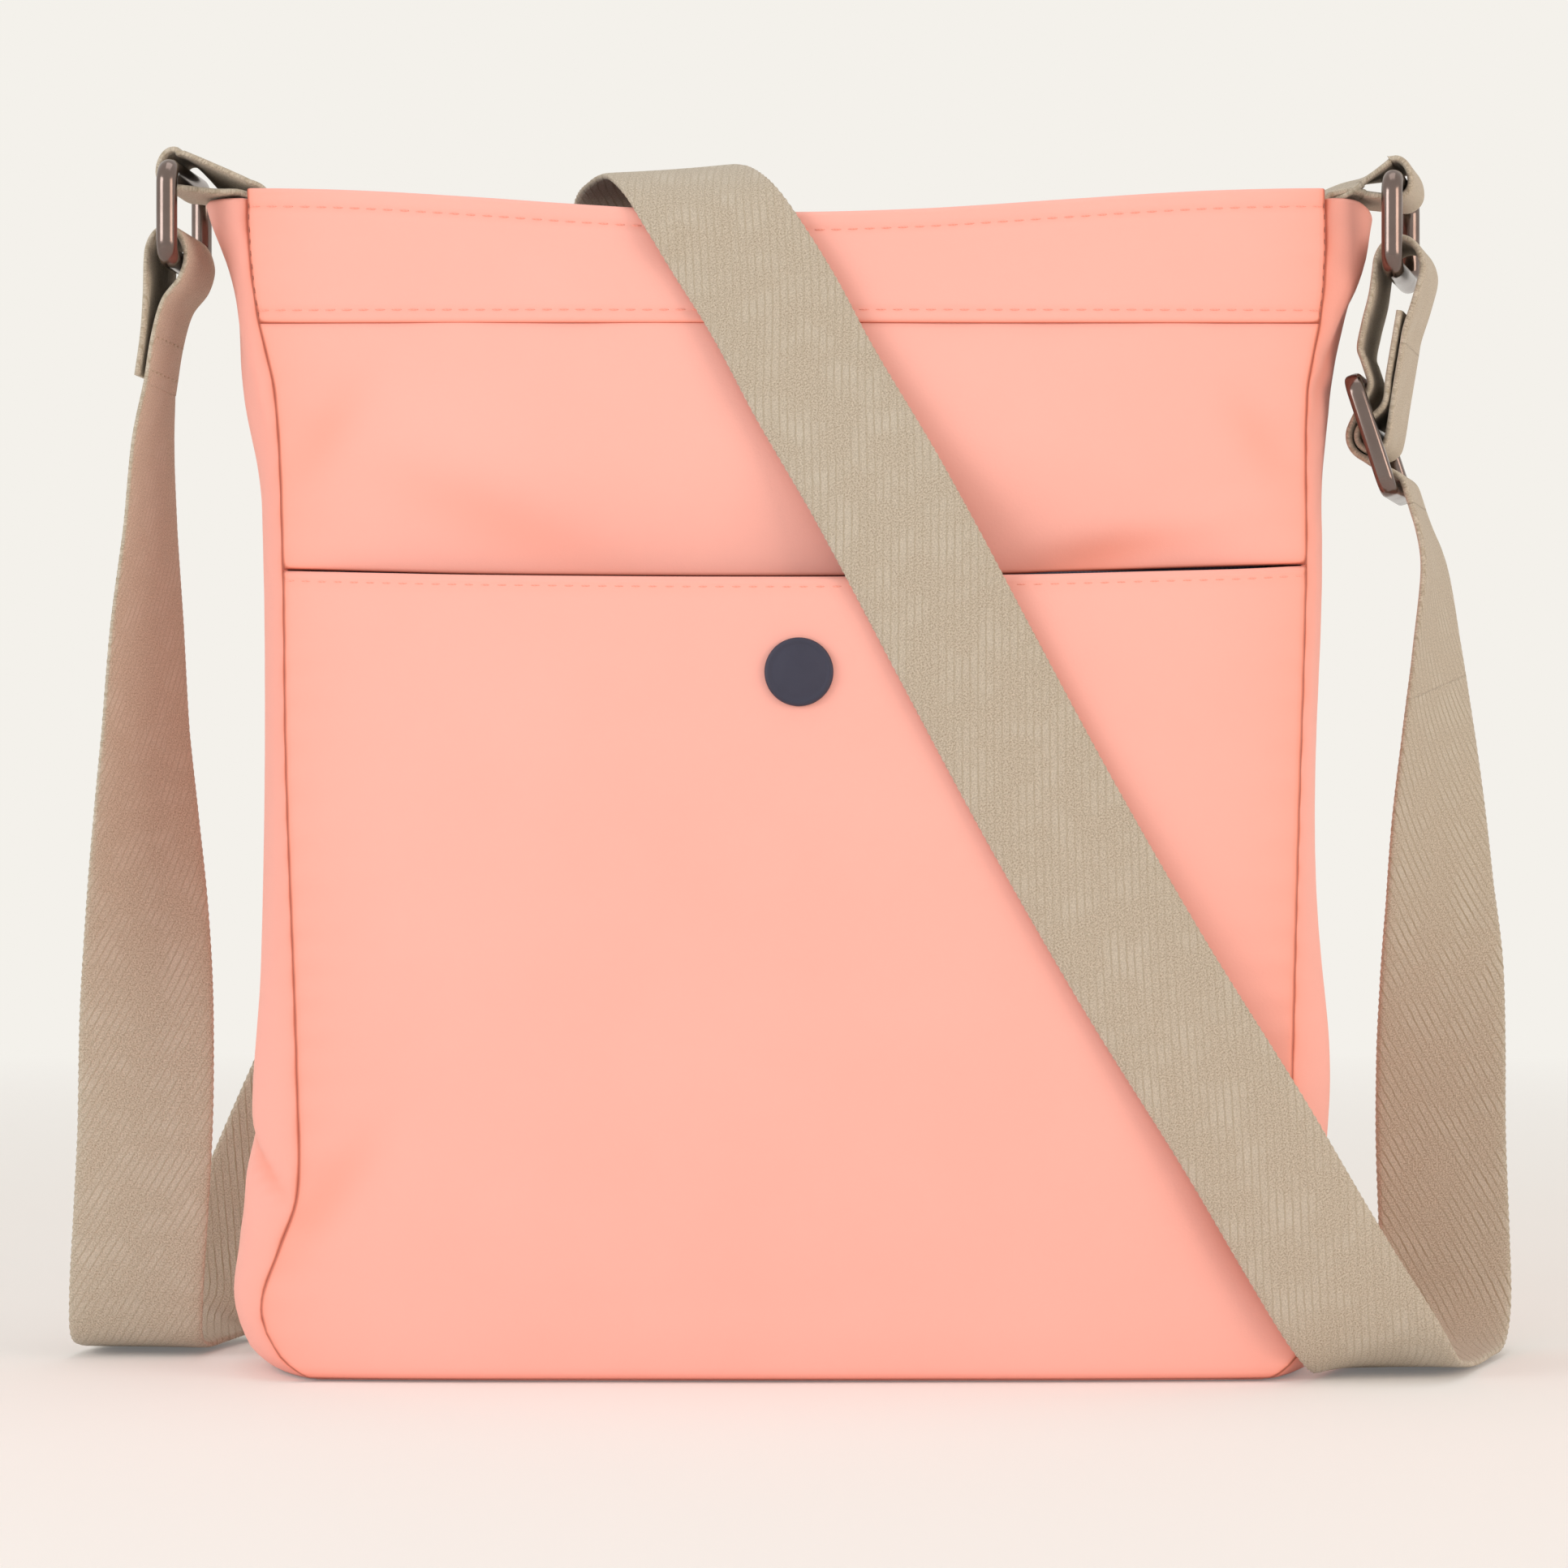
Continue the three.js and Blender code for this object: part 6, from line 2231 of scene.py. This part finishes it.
@dataclass
class Stitching:
    """Every visible row of stitches, as separate lengths of thread."""

    body: ClothBody
    left: SewnHanger
    cloth_thread: Material
    seam_thread: Material
    webbing_thread: Material
    stitch: tuple[float, float, float] = (2.3, 0.42, 0.4)
    pitch: float = 3.6
    seam_stitch: tuple[float, float, float] = (1.5, 0.32, 0.3)
    seam_pitch: float = 2.6
    band_row: float = 3.0
    top_row: float = 4.2
    mouth_row: float = 2.2
    row_reach: float = 0.985
    end_share: float = 0.997
    proud: float = 0.02

    def row(self, face: PanelFace, u: Points, z: Points) -> Points:
        """Points of a row of stitches, just proud of the panel that it is sewn into."""
        return face.surface(u, z) + np.array([0, face.face.value * self.proud, 0])

    def across(self, face: PanelFace, height: Curve) -> Points:
        """Row of stitches across a panel.

        Args:
            face: Panel that it is sewn into.
            height: Height of the row by the share of the half width.

        Returns:
            Points of the row.
        """
        u = np.linspace(-self.row_reach, self.row_reach, 240)
        return self.row(face, u, height(u))

    def band_end(self, face: PanelFace, u: float) -> Points:
        """Short upright row at one end of a top band."""
        z = np.linspace(self.body.form.band_seam + 2, self.body.form.height - 4, 40)
        return self.row(face, np.full_like(z, u), z)

    def build(self) -> None:
        """Sews all rows, one piece for each thread and body."""
        tree, form, body = stitch_tree(), self.body.form, self.body
        rows = [self.across(body.pocket, lambda u: body.pocket.high(u) - self.mouth_row)]
        ends = []
        for band in (body.front_band, body.back_band):
            rows.append(self.across(band, level(form.band_seam + self.band_row)))
            rows.append(self.across(band, lambda u: form.top_edge(u) - self.top_row))
            ends += [self.band_end(band, side.value * self.end_share) for side in Side]
        for name, lines, thread, size, pitch, rides, slot in (
            ("stitches_cloth", rows, self.cloth_thread, self.stitch, self.pitch,
             "root", "coral_cloth"),
            ("stitches_side_seams", ends, self.seam_thread, self.seam_stitch, self.seam_pitch,
             "root", "coral_cloth"),
            ("stitches_strap_end", self.left.sewn_rows(), self.webbing_thread, self.stitch,
             self.pitch, "left_hanger", "beige_webbing"),
        ):
            piece = nodes_modifier(name, tree, lines, {
                "Pitch": pitch * MM, "Stitch Size": [s * MM for s in size], "Thread": thread})
            settle(piece, rides, slot)


def main() -> None:
    """Builds the camera, the strap, the bag, its fittings and the studio, in that order."""
    logging.basicConfig(level=logging.INFO, format="%(message)s")
    Photograph().build()
    cloth, metal = CoatedCloth().material(), PolishedGunmetal().material()
    lining = PlainWeave().material()
    plastic = GrainedPlastic().material()
    twill = TwillWebbing().material()
    strap_webbing = Webbing(twill)
    tab_webbing = Webbing(twill, width=25.0)
    FreeStrap(strap_webbing).build()
    left = SewnHanger(
        Side.LEFT, metal, strap_webbing, tab_webbing,
        yaw_degrees=-4.0, reach=16.5, rise=4.0, crest=4.9)
    left.build()
    right = AdjusterHanger(
        Side.RIGHT, metal, strap_webbing, tab_webbing,
        yaw_degrees=-14.0, reach=18.0, rise=1.8, crest=5.2)
    right.build()

    form = BagForm()
    shell = ClothBody(form, cloth)
    shell.build()
    Linings(form, lining).build()
    PocketButton(shell.pocket, plastic, metal).build()
    tape = PlainWeave("woven_polyester_zip_tape_navy", "#34364A", "#262736", thread=0.7).material()
    TopZip(form, tape, plastic, cloth, metal).build()
    Stitching(
        shell, left,
        SewingThread("polyester_thread_coral", "#FFAB9A", "#F59D8B").material(),
        SewingThread("polyester_thread_russet", "#B0624F", "#8E4C3C").material(),
        SewingThread("polyester_thread_beige", "#BDAF95", "#9F9077").material(),
    ).build()
    Studio().build()


if __name__ == "__main__":
    main()
